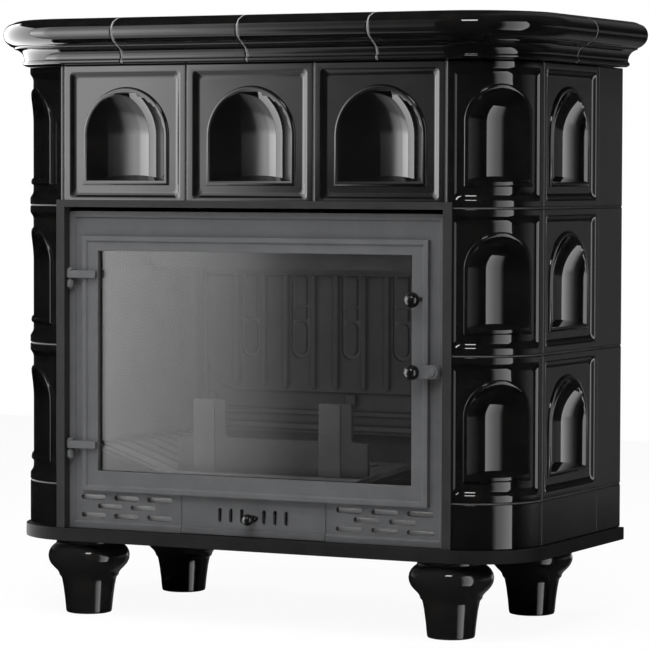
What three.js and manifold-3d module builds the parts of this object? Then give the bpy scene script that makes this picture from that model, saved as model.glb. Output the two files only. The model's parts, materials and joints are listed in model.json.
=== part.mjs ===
// A tiled wood stove: glazed relief tiles round a cast-iron fire insert, on four turned feet.
// Millimetres, +Z up, the front faces -Y. The model is built with its floor at z = 0 and the
// front face of the tiles at y = 0, and is then centred over its footprint.

import * as THREE from 'three';
import { mergeVertices } from 'three/addons/utils/BufferGeometryUtils.js';
import Module from 'manifold-3d';

// ---------------------------------------------------------------- driving dimensions

// Clearances
const SEAT = 0.3; // between two pieces that touch
const ARC_EASE = 0.5; // extra room where two faceted arcs lie back to back
const OVERCUT = 1; // how far a cutting tool runs past the face it opens
const FUSE = 1; // how far two solids of one piece run into each other

// Tiled body
const TILE_SIZE = 220; // face of a square tile
const JOINT = 2; // grout joint between neighbours
const TILE_DEPTH = 45; // face of a tile to the back of its rim
const FRONT_COLUMNS = 3;
const ROWS = 3;
const CORNER_RADIUS = 112; // quarter-round corner tile
const STRIP_WIDTH = 100; // plain tile at the back of each side
const PLINTH_HEIGHT = 69; // low tile under the rows

// Relief of an arched tile
const FIELD_DEPTH = 5; // sunk field inside the tile's rim
const FIELD_CORNER = 4; // corner radius of the field's floor
const RIM_FLAT = 8;
const RIM_SLOPE = 11;
const ARCH_HALF_WIDTH = 78; // over the bead
const CORNER_ARCH_HALF_WIDTH = 57;
const ARCH_BOTTOM = 31; // above the tile's lower edge
const ARCH_TOP_MARGIN = 34; // below the tile's upper edge
const BEAD_WIDTH = 6.5;
const BEAD_HEIGHT = 3.5; // proud of the field
const NICHE_DEPTH = 28; // behind the bead's face
const CORNER_NICHE_DEPTH = 15; // behind the chord of the niche's mouth
const LEDGE_RISE = 9; // floor of the niche, from its lip to its back
const TILE_WALL = 10; // clay left behind the field and the niche
const TILE_RIM_WALL = 14;

// Cornice: its moulding, outwards from the tile face and upwards from its bed
const CORNICE_HEIGHT = 73;
const CORNICE_REACH = 43;
const NOSE_WIDTH = 17; // half width of the round nose
const NOSE_HEIGHT = 18; // half height of the round nose
const NOSE_LEVEL = 50.5;
const NECK_REACH = 6;
const BEADING_RADIUS = 3.4;
const BEADING_LEVEL = 5;
const COVE_REACH = 25;
const COVE_LEVEL = 28;
const COVE_START = 4; // the cove's foot outside the neck
const NOSE_START = -Math.PI / 3; // arc of the nose, from its lower to its upper end
const NOSE_END = 0.44 * Math.PI;
const BEADING_ARC = 0.4 * Math.PI; // half the arc of the small beading

// Base plate and feet
const PLATE_THICKNESS = 20;
const PLATE_OVERHANG = 7;
const FOOT_HEIGHT = 120;
const FOOT_COLLAR_RADIUS = 52;
const FOOT_COLLAR_HEIGHT = 9;
const FOOT_BULGE_RADIUS = 65.5;
const FOOT_BULGE_DROP = 28; // centre of the bulge below the plate
const FOOT_WAIST_RADIUS = 45;
const FOOT_WAIST_DROP = 58;
const FOOT_TOE_RADIUS = 36.5;
const FOOT_TOE_CHAMFER = 4;
const FOOT_TOE_FLARE = 25; // the toe's straight part ends this far below the waist
const FOOT_SHOULDER = 4; // upper edge of the bulge outside the collar
const FOOT_CURVE = 8; // reach of the bulge's rounding above and below its centre
const FOOT_INSET_X = 125; // foot centre from the side of the body
const FOOT_INSET_FRONT = 56; // foot centre behind the tile face
const FOOT_INSET_REAR = 66; // foot centre in front of the back

// Steel casing behind the tiles, and the top plate
const CASING_SHEET = 3;
const TOP_PLATE_THICKNESS = 6;
const TOP_PLATE_DROP = 4; // below the top of the cornice

// Steel surround round the insert
const SURROUND_SHEET = 3;
const SURROUND_LIP_SIDE = 12; // lap over the corner tiles
const SURROUND_LIP_TOP = 9; // lap over the front tiles

// Cast-iron front frame
const FRAME_RECESS = 12; // face of its rim behind the tile face
const FRAME_STEP = 3; // rim proud of the frame's face
const FRAME_THICKNESS = 8;
const FRAME_RIM = 11;
const FRAME_TOP_GAP = 6.5; // dark gap under the surround
const FRAME_BORDER_SIDE = 27.5; // frame seen beside the door
const FRAME_BORDER_TOP = 39.5;
const AIR_ZONE_HEIGHT = 61; // below the door, with the drawer and the air slots
const DOOR_LAP_SIDE = 18; // door over the frame's opening
const DOOR_LAP_TOP = 13;
const DOOR_LAP_BOTTOM = 22;

// Door
const DOOR_THICKNESS = 10;
const DOOR_RIM = 9.5;
const DOOR_STEP = 2.5;
const DOOR_BORDER_SIDE = 28; // door's edge to the glass
const DOOR_BORDER_TOP = 23;
const DOOR_BORDER_BOTTOM = 32;
const GLASS_THICKNESS = 4;
const GLASS_LAP = 5; // glass behind the door's border
const SPIGOT_WALL = 4; // ring on the door's back that holds the glass
const SPIGOT_DEPTH = 9;

// Hinges on the left
const HINGE_OUT = 21; // pin from the door's edge
const HINGE_STAND_OFF = 7; // pin in front of the frame's rim
const HINGE_PIN_RADIUS = 3;
const HINGE_PIN_GAP = 0.5;
const HINGE_EYE_RADIUS = 6;
const HINGE_EYE_HEIGHT = 12;
const HINGE_BARREL_NECK = 3; // half width of the neck that carries the barrel
const HINGE_ARM_EASE = 0.6; // arm's face behind the front of its eye
const HINGE_ARM_ROOT = 2.2; // back of the arm behind the pin's axis
const HINGE_PIN_HEAD = 2.5; // head of the pin beyond its shank
const HINGE_PIN_HEAD_HEIGHT = 4;
const HINGE_BARREL_GAP = 3;
const HINGE_ARM_REACH = 27; // over the door's border
const UPPER_HINGE_DROP = 54.5; // top of the arm below the door's top
const LOWER_HINGE_RISE = 67; // bottom of the arm above the door's bottom

// Knobs and latch on the right
const KNOB_RADIUS = 12;
const KNOB_NECK_RADIUS = 4;
const KNOB_STAND_OFF = 38; // centre of the ball in front of the frame's face
const KNOB_INSET = 14; // from the door's edge
const PULL_KNOB_DROP = 89.5; // below the door's top
const LATCH_DROP = 198.5;
const LATCH_PIVOT_OUT = 12; // pivot beyond the door's edge
const LATCH_BAR_HEIGHT = 20;
const LATCH_BAR_THICKNESS = 6;
const LATCH_EAR_THICKNESS = 5.5;
const LATCH_EAR_REACH = 22; // over the door's border
const LATCH_EAR_CORNER = 6;
const LATCH_ROOT_MARGIN = 2; // root smaller than the ear all round
const LATCH_ROOT_DEPTH = 4; // behind the door's face
const LATCH_SCREW_HEAD = 3; // head of the screw beyond its shank
const LATCH_SCREW_HEAD_HEIGHT = 3.5;
const LATCH_SCREW_RADIUS = 3.5;
const LATCH_SCREW_GAP = 0.5;

// Ash drawer and its air slide
const DRAWER_HALF_WIDTH = 127;
const DRAWER_GAP = 0.8; // round the drawer's front
const DRAWER_FRONT_THICKNESS = 6;
const DRAWER_BOX_INSET = 8; // box narrower than its front
const DRAWER_BOX_LENGTH = 300;
const DRAWER_BOX_HEIGHT = 50;
const DRAWER_SHEET = 2.5;
const AIR_SLOT_WIDTH = 7;
const AIR_SLOT_HEIGHT = 22.5;
const AIR_SLOT_PITCH = 19.4;
const AIR_SLOTS_PER_SIDE = 3;
const AIR_SLOT_LEVEL = 32; // centre above the base plate
const SLIDE_SHEET = 2;
const SLIDE_TRAVEL = 5; // to each side: closed on the left, open on the right
const SLIDE_MARGIN = 6; // plate beyond its outer slots
const SLIDE_LAP = 4; // plate above and below its slots
const SLIDE_END_GAP = 1; // to the drawer's posts at the end of its travel
const SLIDE_KNOB_RADIUS = 9.2;
const SLIDE_STEM_RADIUS = 3;
const SLIDE_STEM_GAP = 0.7;
const SLIDE_KNOB_LEVEL = 29;

// Air slots in the frame, beside the drawer
const VENT_LENGTH = 45;
const VENT_HEIGHT = 8;
const VENT_PITCH = 60.3;
const VENT_START = 39.5; // first centre from the drawer's edge
const VENT_ROWS = [50, 36, 21]; // centres above the base plate
const VENT_EDGE = 18; // least margin at the frame's side

// Fire box
const FIREBOX_SHEET = 3;
const FIREBOX_MARGIN = 10; // wider than the frame's opening
const FIREBOX_REAR_GAP = 47; // air space behind it
const FIREBOX_FLOOR_GAP = 6; // above the drawer
const FLUE_RADIUS = 75;
const FLUE_WALL = 6;
const FLUE_SETBACK = 240; // centre of the flue behind the tile face
const FLUE_TOP_DROP = 2; // below the top of the cornice

// Cast hearth, grate and log guard
const HEARTH_THICKNESS = 8;
const HEARTH_SETBACK = 4; // behind the fire box's front edge, clear of the door's ring
const HEARTH_FLOOR_HALF = 170;
const HEARTH_LEVEL = 24; // top of the floor above the fire box's floor
const HEARTH_RAMP_RISE = 42;
const HEARTH_RIB = 4;
const HEARTH_RIB_PITCH = 40;
const HEARTH_RIB_START = 14; // first rib behind the hearth's front edge
const HEARTH_RIB_INSET = 12; // lower end of a rib up the ramp
const GRATE_HALF_WIDTH = 100;
const GRATE_LENGTH = 200;
const GRATE_SETBACK = 52; // behind the log guard
const GRATE_LEDGE = 6; // ledge in the hearth that carries the grate
const GRATE_GAP = 0.8; // round the grate
const GRATE_FRAME = 13; // solid end of the grate
const GRATE_SLOTS = 7;
const GRATE_SLOT_WIDTH = 10;
const GUARD_SETBACK = 76; // face of the log guard behind the tile face
const GUARD_THICKNESS = 9;
const GUARD_POST_CENTRE = 111;
const GUARD_POST_WIDTH = 57;
const GUARD_POST_HEIGHT = 115;
const GUARD_WALL_HEIGHT = 55;
const GUARD_HALF_WIDTH = 168;

// Lining plates and baffle
const LINING_THICKNESS = 8;
const LINING_SETBACK = 7; // behind the hearth's front edge
const FIREBACK_THICKNESS = 10;
const FIREBACK_STAND_OFF = 12; // pads to the fire box's rear wall
const FIREBACK_LOWER = 112; // lower edge of its panel above the hearth floor
const FIREBACK_SKIRT = 68; // plate below the panel
const PANEL_HEIGHT = 193;
const PANEL_MARGIN = 15;
const PANEL_CORNER = 62;
const PANEL_RELIEF = 5;
const RAIL_DROP = 3; // rail over the panel, below the plate's top
const BOSS_PITCH = 93;
const BOSS_WIDTH = 26;
const BOSS_LENGTH = 134;
const BOSS_RELIEF = 5;
const BLOCK_SIZE = 20;
const BLOCK_RELIEF = 7;
const BLOCK_DROP = 62; // centre below the panel's top
const RIB_OFFSET = 25.5; // each side of a boss
const RIB_WIDTH = 8;
const RIB_RELIEF = 8;
const RIB_MARGIN = 6; // foot of a rib above the panel's edge
const PAD_INSET = 40; // centre of a rear pad from the plate's edge
const PAD_WIDTH = 30;
const BAFFLE_THICKNESS = 12;
const BAFFLE_LENGTH = 190;
const BAFFLE_GAP = 14; // above the fireback

// ---------------------------------------------------------------- levels and places

const pitch = TILE_SIZE + JOINT;
const frontHalf = (FRONT_COLUMNS * pitch) / 2;
const bodyHalf = frontHalf + CORNER_RADIUS;
const sideTileY = CORNER_RADIUS + pitch / 2;
const bodyDepth = CORNER_RADIUS + pitch + JOINT / 2 + STRIP_WIDTH;

const plateTop = FOOT_HEIGHT + PLATE_THICKNESS;
const rowsBottom = plateTop + PLINTH_HEIGHT + JOINT / 2;
const rowsTop = rowsBottom + ROWS * pitch;
const stoveTop = rowsTop + CORNICE_HEIGHT;
const openingTop = rowsTop - pitch;

const innerCorner = CORNER_RADIUS - TILE_DEPTH + ARC_EASE; // inside radius of a corner tile
const surroundHalf = frontHalf + ((JOINT / 2) * innerCorner) / CORNER_RADIUS - SEAT;
const surroundTop = openingTop + JOINT / 2 - SEAT;
const frameHalf = surroundHalf - SURROUND_SHEET - SEAT;
const frameTop = surroundTop - SURROUND_SHEET - FRAME_TOP_GAP;
const frameBottom = plateTop + SEAT;
const frameFace = FRAME_RECESS + FRAME_STEP;
const frameBack = frameFace + FRAME_THICKNESS;

const doorHalf = frameHalf - FRAME_BORDER_SIDE;
const doorTop = frameTop - FRAME_BORDER_TOP;
const doorBottom = plateTop + AIR_ZONE_HEIGHT;
const doorBack = frameFace - SEAT;
const doorFace = doorBack - DOOR_THICKNESS;
const mouthHalf = doorHalf - DOOR_LAP_SIDE;
const mouthTop = doorTop - DOOR_LAP_TOP;
const mouthBottom = doorBottom + DOOR_LAP_BOTTOM;
const glassHalf = doorHalf - DOOR_BORDER_SIDE;
const glassTop = doorTop - DOOR_BORDER_TOP;
const glassBottom = doorBottom + DOOR_BORDER_BOTTOM;

const hingeX = -(doorHalf + HINGE_OUT);
const hingeY = FRAME_RECESS - HINGE_STAND_OFF;
const knobX = doorHalf - KNOB_INSET;
const knobY = frameFace - KNOB_STAND_OFF;
const pullKnobZ = doorTop - PULL_KNOB_DROP;
const latchX = doorHalf + LATCH_PIVOT_OUT;
const latchZ = doorTop - LATCH_DROP;
const earFace = doorFace - LATCH_EAR_THICKNESS;
const leverBack = earFace - SEAT;
const leverFace = leverBack - LATCH_BAR_THICKNESS;

const drawerTop = doorBottom - DRAWER_GAP;
const slotLevel = plateTop + AIR_SLOT_LEVEL;
const boxHalf = mouthHalf + FIREBOX_MARGIN;
const boxBottom = drawerTop + FIREBOX_FLOOR_GAP;
const boxTop = frameTop - FIREBOX_SHEET;
const boxFront = frameBack + SEAT;
const boxBack = bodyDepth - FIREBOX_REAR_GAP;
const boxInnerHalf = boxHalf - FIREBOX_SHEET;
const boxInnerBack = boxBack - FIREBOX_SHEET;

const hearthTop = boxBottom + FIREBOX_SHEET + HEARTH_LEVEL;
const rampTop = hearthTop + HEARTH_RAMP_RISE;
const hearthFront = boxFront + HEARTH_SETBACK;
const grateY = GUARD_SETBACK + GRATE_SETBACK;
const firebackFace = boxInnerBack - FIREBACK_STAND_OFF - FIREBACK_THICKNESS;
const hearthBack = firebackFace - PANEL_RELIEF - SEAT;
const firebackBottom = hearthTop + FIREBACK_LOWER;
const firebackTop = firebackBottom + PANEL_HEIGHT + PANEL_MARGIN;
const liningFace = boxInnerHalf - SEAT - LINING_THICKNESS;

// ---------------------------------------------------------------- materials

const glaze = new THREE.MeshStandardMaterial({ color: 0x08080a, roughness: 0.06, metalness: 0 });
const castIron = new THREE.MeshStandardMaterial({ color: 0x4c4d50, roughness: 0.62, metalness: 0.35 });
const darkSteel = new THREE.MeshStandardMaterial({ color: 0x29292b, roughness: 0.55, metalness: 0.3 });
const sheetSteel = new THREE.MeshStandardMaterial({ color: 0x303134, roughness: 0.5, metalness: 0.5 });
const sootyIron = new THREE.MeshStandardMaterial({ color: 0x58595b, roughness: 0.75, metalness: 0.2 });
const blackKnob = new THREE.MeshStandardMaterial({ color: 0x0b0b0c, roughness: 0.15, metalness: 0 });
const glass = new THREE.MeshStandardMaterial({
  color: 0x6a6d70,
  roughness: 0.05,
  metalness: 0,
  transparent: true,
  opacity: 0.35,
});

// ---------------------------------------------------------------- solids: join, cut, common

const wasm = await Module();
wasm.setup();

function signedVolume(position, index) {
  const a = new THREE.Vector3();
  const b = new THREE.Vector3();
  const c = new THREE.Vector3();
  let volume = 0;
  for (let i = 0; i < index.length; i += 3) {
    a.fromBufferAttribute(position, index[i]);
    b.fromBufferAttribute(position, index[i + 1]);
    c.fromBufferAttribute(position, index[i + 2]);
    volume += a.dot(b.cross(c)) / 6;
  }
  return volume;
}

// A closed three.js geometry as a solid: shared corners merged, faces turned outwards.
function solid(shape) {
  if (!shape.isBufferGeometry) return shape;
  const bare = shape.clone();
  bare.deleteAttribute('normal');
  bare.deleteAttribute('uv');
  const merged = mergeVertices(bare, 1e-4);
  const position = merged.getAttribute('position');
  const index = Array.from(merged.index.array);
  const flip = signedVolume(position, index) < 0;
  const triangles = [];
  for (let i = 0; i < index.length; i += 3) {
    const [a, b, c] = index.slice(i, i + 3);
    if (a === b || b === c || c === a) continue;
    triangles.push(a, flip ? c : b, flip ? b : c);
  }
  const vertProperties = new Float32Array(position.array);
  const triVerts = new Uint32Array(triangles);
  return new wasm.Manifold(new wasm.Mesh({ numProp: 3, vertProperties, triVerts }));
}

function join(first, ...others) {
  return others.reduce((sum, other) => sum.add(solid(other)), solid(first));
}

function cut(first, ...tools) {
  return tools.reduce((rest, tool) => rest.subtract(solid(tool)), solid(first));
}

function common(first, ...others) {
  return others.reduce((shared, other) => shared.intersect(solid(other)), solid(first));
}

function geometryOf(shape) {
  const mesh = solid(shape).getMesh();
  const geometry = new THREE.BufferGeometry();
  geometry.setAttribute('position', new THREE.BufferAttribute(mesh.vertProperties, 3));
  geometry.setIndex(new THREE.BufferAttribute(mesh.triVerts, 1));
  return geometry;
}

// ---------------------------------------------------------------- basic shapes

function block(x0, x1, y0, y1, z0, z1) {
  const box = new THREE.BoxGeometry(x1 - x0, y1 - y0, z1 - z0);
  return box.translate((x0 + x1) / 2, (y0 + y1) / 2, (z0 + z1) / 2);
}

// A plan outline (x, y) raised from z0 to z1.
function raised(outline, z0, z1, curveSegments = 4) {
  const options = { depth: z1 - z0, bevelEnabled: false, curveSegments };
  return new THREE.ExtrudeGeometry(outline, options).translate(0, 0, z0);
}

// A front outline (x, z) carried back from y0 to y1.
function carriedBack(outline, y0, y1, curveSegments = 4) {
  const options = { depth: y1 - y0, bevelEnabled: false, curveSegments };
  const body = new THREE.ExtrudeGeometry(outline, options);
  return body.rotateX(Math.PI / 2).translate(0, y1, 0);
}

// A side outline (y, z) carried across from x0 to x1.
function carriedAcross(outline, x0, x1, curveSegments = 4) {
  const options = { depth: x1 - x0, bevelEnabled: false, curveSegments };
  const body = new THREE.ExtrudeGeometry(outline, options);
  const axes = new THREE.Matrix4();
  axes.makeBasis(new THREE.Vector3(0, 1, 0), new THREE.Vector3(0, 0, 1), new THREE.Vector3(1, 0, 0));
  return body.applyMatrix4(axes).translate(x0, 0, 0);
}

// A profile of [radius, height] points turned about the z axis.
function turned(profile, segments) {
  const points = profile.map(([radius, height]) => new THREE.Vector2(radius, height));
  return new THREE.LatheGeometry(points, segments).rotateX(Math.PI / 2);
}

// The same, with its height pointing to the front.
function turnedForward(profile, segments) {
  return turned(profile, segments).rotateX(Math.PI / 2);
}

function rod(radius, z0, z1, segments = 12) {
  return turned([[0, z0], [radius, z0], [radius, z1], [0, z1]], segments);
}

function polygon(points) {
  return new THREE.Shape(points.map(([x, y]) => new THREE.Vector2(x, y)));
}

function roundedRectangle(x0, x1, y0, y1, radius) {
  const outline = new THREE.Shape();
  outline.absarc(x1 - radius, y0 + radius, radius, -Math.PI / 2, 0, false);
  outline.absarc(x1 - radius, y1 - radius, radius, 0, Math.PI / 2, false);
  outline.absarc(x0 + radius, y1 - radius, radius, Math.PI / 2, Math.PI, false);
  outline.absarc(x0 + radius, y0 + radius, radius, Math.PI, 1.5 * Math.PI, false);
  outline.closePath();
  return outline;
}

// A slot with round ends, centred on (x, z).
function slot(x, z, width, height) {
  const radius = Math.min(width, height) / 2;
  return roundedRectangle(x - width / 2, x + width / 2, z - height / 2, z + height / 2, radius);
}

function arch(halfWidth, bottom, centre) {
  const outline = new THREE.Shape();
  outline.moveTo(-halfWidth, bottom);
  outline.lineTo(halfWidth, bottom);
  outline.absarc(0, centre, halfWidth, 0, Math.PI, false);
  outline.closePath();
  return outline;
}

// Plan of the tiled body, drawn in by an inset from the tile faces.
function bodyPlan(inset, back) {
  const radius = CORNER_RADIUS - inset;
  const outline = new THREE.Shape();
  outline.moveTo(-frontHalf - radius, back);
  outline.lineTo(-frontHalf - radius, CORNER_RADIUS);
  outline.absarc(-frontHalf, CORNER_RADIUS, radius, Math.PI, 1.5 * Math.PI, false);
  outline.absarc(frontHalf, CORNER_RADIUS, radius, 1.5 * Math.PI, 2 * Math.PI, false);
  outline.lineTo(frontHalf + radius, back);
  outline.closePath();
  return outline;
}

// Part of a ring about the origin, open to the front, spanning an angle each side of -y.
function frontSector(inner, outer, halfAngle) {
  const middle = -Math.PI / 2;
  const outline = new THREE.Shape();
  outline.absarc(0, 0, outer, middle - halfAngle, middle + halfAngle, false);
  outline.absarc(0, 0, inner, middle + halfAngle, middle - halfAngle, true);
  outline.closePath();
  return outline;
}

// A moulding swept along stations, each a point with its outward direction.
function swept(profile, stations) {
  const outline = profile.getPoints(3);
  const count = outline.length;
  const positions = [];
  for (const station of stations) {
    for (const point of outline) {
      const x = station.x + station.nx * point.x;
      const y = station.y + station.ny * point.x;
      positions.push(x, y, point.y);
    }
  }
  const index = [];
  for (let s = 0; s < stations.length - 1; s += 1) {
    for (let i = 0; i < count; i += 1) {
      const a = s * count + i;
      const b = s * count + ((i + 1) % count);
      index.push(a, b, b + count, a, b + count, a + count);
    }
  }
  const last = (stations.length - 1) * count;
  for (const [a, b, c] of THREE.ShapeUtils.triangulateShape(outline, [])) {
    index.push(a, c, b, last + a, last + b, last + c);
  }
  const geometry = new THREE.BufferGeometry();
  geometry.setAttribute('position', new THREE.Float32BufferAttribute(positions, 3));
  geometry.setIndex(index);
  return geometry;
}

// ---------------------------------------------------------------- the assembly

const sides = [['left', -1], ['right', 1]];
const stove = new THREE.Group();
stove.position.y = -(bodyDepth - CORNICE_REACH) / 2;

function place(name, shape, material, parent = stove) {
  const geometry = shape.isBufferGeometry ? shape : geometryOf(shape);
  const mesh = new THREE.Mesh(geometry, material);
  mesh.name = name;
  parent.add(mesh);
  return mesh;
}

// ---------------------------------------------------------------- feet and base plate

function footGeometry() {
  const top = FOOT_HEIGHT - SEAT;
  const bulge = FOOT_HEIGHT - FOOT_BULGE_DROP;
  const waist = FOOT_HEIGHT - FOOT_WAIST_DROP;
  const profile = new THREE.Path();
  profile.moveTo(0, 0);
  profile.lineTo(FOOT_TOE_RADIUS - FOOT_TOE_CHAMFER, 0);
  profile.lineTo(FOOT_TOE_RADIUS, FOOT_TOE_CHAMFER);
  const flare = waist - FOOT_TOE_FLARE;
  profile.quadraticCurveTo(FOOT_TOE_RADIUS + FOOT_TOE_CHAMFER, flare, FOOT_WAIST_RADIUS, waist);
  const widest = bulge - FOOT_CURVE;
  profile.quadraticCurveTo(FOOT_BULGE_RADIUS, waist + FOOT_CURVE, FOOT_BULGE_RADIUS, widest);
  const shoulder = FOOT_COLLAR_RADIUS + FOOT_SHOULDER;
  const collar = top - FOOT_COLLAR_HEIGHT;
  profile.quadraticCurveTo(FOOT_BULGE_RADIUS, bulge + FOOT_CURVE, shoulder, collar);
  profile.lineTo(FOOT_COLLAR_RADIUS, collar);
  profile.lineTo(FOOT_COLLAR_RADIUS, top);
  profile.lineTo(0, top);
  return turned(profile.getPoints(3).map((point) => [point.x, point.y]), 20);
}

const foot = footGeometry();
const footRows = [['front', FOOT_INSET_FRONT], ['rear', bodyDepth - FOOT_INSET_REAR]];
for (const [depthName, y] of footRows) {
  for (const [sideName, side] of sides) {
    const mesh = place(`foot_${depthName}_${sideName}`, foot, glaze);
    mesh.position.set(side * (bodyHalf - FOOT_INSET_X), y, 0);
  }
}

place('base_plate', raised(bodyPlan(-PLATE_OVERHANG, bodyDepth), FOOT_HEIGHT, plateTop), darkSteel);

// ---------------------------------------------------------------- tiles

// The hollow of a niche: an upright round shaft with a domed top, which meets the bead's face in
// an arch. Its axis stands in front of the tile at axisY, and its floor is a sloping ledge.
function nicheShaft(radius, domeHeight, axisY, centre, grow) {
  const steps = 6;
  const profile = [[0, -OVERCUT], [radius + grow, -OVERCUT]];
  for (let i = 0; i <= steps; i += 1) {
    const angle = (i / steps) * (Math.PI / 2);
    profile.push([(radius + grow) * Math.cos(angle), centre + (domeHeight + grow) * Math.sin(angle)]);
  }
  profile[profile.length - 1][0] = 0;
  return turned(profile, 28).rotateZ(Math.PI / 28).translate(0, axisY, 0);
}

function aboveLedge(frontY, lip, depth, halfWidth) {
  const slope = LEDGE_RISE / depth;
  const before = TILE_WALL;
  const outline = polygon([
    [frontY - before, lip - slope * before],
    [frontY + 2 * depth, lip + 2 * LEDGE_RISE],
    [frontY + 2 * depth, 2 * TILE_SIZE],
    [frontY - before, 2 * TILE_SIZE],
  ]);
  return carriedAcross(outline, -halfWidth, halfWidth);
}

function flatArchedTile() {
  const half = TILE_SIZE / 2;
  const beadFace = FIELD_DEPTH - BEAD_HEIGHT;
  const centre = TILE_SIZE - ARCH_TOP_MARGIN - ARCH_HALF_WIDTH;
  const mouth = ARCH_HALF_WIDTH - BEAD_WIDTH;
  const radius = (mouth ** 2 + NICHE_DEPTH ** 2) / (2 * NICHE_DEPTH);
  const axisY = beadFace + NICHE_DEPTH - radius;
  const fieldHalf = half - RIM_FLAT - RIM_SLOPE;
  const wallY = FIELD_DEPTH + TILE_WALL;

  const slab = block(-half, half, 0, TILE_DEPTH, 0, TILE_SIZE);
  const inner = half - TILE_RIM_WALL;
  const innerTop = TILE_SIZE - TILE_RIM_WALL;
  const pocket = block(-inner, inner, wallY, TILE_DEPTH + OVERCUT, TILE_RIM_WALL, innerTop);
  const backing = common(
    nicheShaft(radius, radius, axisY, centre, TILE_WALL),
    block(-inner, inner, wallY - OVERCUT, TILE_DEPTH - OVERCUT, TILE_RIM_WALL, innerTop),
  );
  const field = new THREE.ExtrudeGeometry(
    roundedRectangle(-fieldHalf, fieldHalf, half - fieldHalf, half + fieldHalf, FIELD_CORNER),
    {
      depth: FIELD_DEPTH,
      bevelThickness: FIELD_DEPTH,
      bevelSize: RIM_SLOPE,
      bevelSegments: 1,
      curveSegments: 1,
    },
  ).rotateX(Math.PI / 2);
  const bead = carriedBack(arch(ARCH_HALF_WIDTH, ARCH_BOTTOM, centre), beadFace, wallY - OVERCUT, 7);
  const niche = common(
    nicheShaft(radius, radius, axisY, centre, 0),
    aboveLedge(beadFace, ARCH_BOTTOM + BEAD_WIDTH, NICHE_DEPTH, half),
  );
  return cut(join(cut(slab, pocket, field), backing, bead), niche);
}

// Quarter-round tile about the origin, its middle facing the front.
function cornerArchedTile() {
  const gapAngle = JOINT / 2 / CORNER_RADIUS;
  const halfAngle = Math.PI / 4 - gapAngle;
  const fieldRadius = CORNER_RADIUS - FIELD_DEPTH;
  const beadRadius = fieldRadius + BEAD_HEIGHT;
  const centre = TILE_SIZE - ARCH_TOP_MARGIN - CORNER_ARCH_HALF_WIDTH;
  const mouth = CORNER_ARCH_HALF_WIDTH - BEAD_WIDTH;
  const chordY = -Math.sqrt(beadRadius ** 2 - mouth ** 2);
  const radius = (mouth ** 2 + CORNER_NICHE_DEPTH ** 2) / (2 * CORNER_NICHE_DEPTH);
  const axisY = chordY + CORNER_NICHE_DEPTH - radius;
  const middle = axisY + beadRadius;
  const domeHeight = (radius * mouth) / Math.sqrt(radius ** 2 - middle ** 2);
  const rim = RIM_FLAT + RIM_SLOPE / 2;

  const shell = raised(frontSector(innerCorner, CORNER_RADIUS, halfAngle), 0, TILE_SIZE, 5);
  const fieldAngle = halfAngle - rim / CORNER_RADIUS;
  const field = raised(
    frontSector(fieldRadius, CORNER_RADIUS + 2 * OVERCUT, fieldAngle),
    rim,
    TILE_SIZE - rim,
    5,
  );
  const beadBand = frontSector(fieldRadius - TILE_WALL, beadRadius, fieldAngle);
  const bead = common(
    raised(beadBand, rim, TILE_SIZE - rim, 5),
    carriedBack(
      arch(CORNER_ARCH_HALF_WIDTH, ARCH_BOTTOM, centre),
      -CORNER_RADIUS - OVERCUT,
      -innerCorner * Math.cos(halfAngle),
      6,
    ),
  );
  const niche = common(
    nicheShaft(radius, domeHeight, axisY, centre, 0),
    aboveLedge(-beadRadius, ARCH_BOTTOM + BEAD_WIDTH, NICHE_DEPTH, CORNER_RADIUS),
  );
  return cut(join(cut(shell, field), bead), niche);
}

const flatTile = geometryOf(flatArchedTile());
const cornerTile = geometryOf(cornerArchedTile());
const stripTile = block(-STRIP_WIDTH / 2, STRIP_WIDTH / 2, 0, TILE_DEPTH, 0, TILE_SIZE);
const rowNames = ['bottom', 'middle', 'top'];
const columnNames = ['left', 'centre', 'right'];

const tiles = new THREE.Group();
stove.add(tiles);

for (let column = 0; column < FRONT_COLUMNS; column += 1) {
  const mesh = place(`front_tile_${columnNames[column] ?? column}`, flatTile, glaze, tiles);
  mesh.position.set((column - (FRONT_COLUMNS - 1) / 2) * pitch, 0, openingTop + JOINT / 2);
}

for (const [sideName, side] of sides) {
  for (let row = 0; row < ROWS; row += 1) {
    const rowName = rowNames[row] ?? row;
    const z = rowsBottom + row * pitch + JOINT / 2;
    const corner = place(`corner_tile_${sideName}_${rowName}`, cornerTile, glaze, tiles);
    corner.position.set(side * frontHalf, CORNER_RADIUS, z);
    corner.rotation.z = (side * Math.PI) / 4;
    const flank = place(`side_tile_${sideName}_${rowName}`, flatTile, glaze, tiles);
    flank.position.set(side * bodyHalf, sideTileY, z);
    flank.rotation.z = (side * Math.PI) / 2;
    const strip = place(`side_strip_${sideName}_${rowName}`, stripTile, glaze, tiles);
    strip.position.set(side * bodyHalf, bodyDepth - STRIP_WIDTH / 2, z);
    strip.rotation.z = (side * Math.PI) / 2;
  }
}

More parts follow.
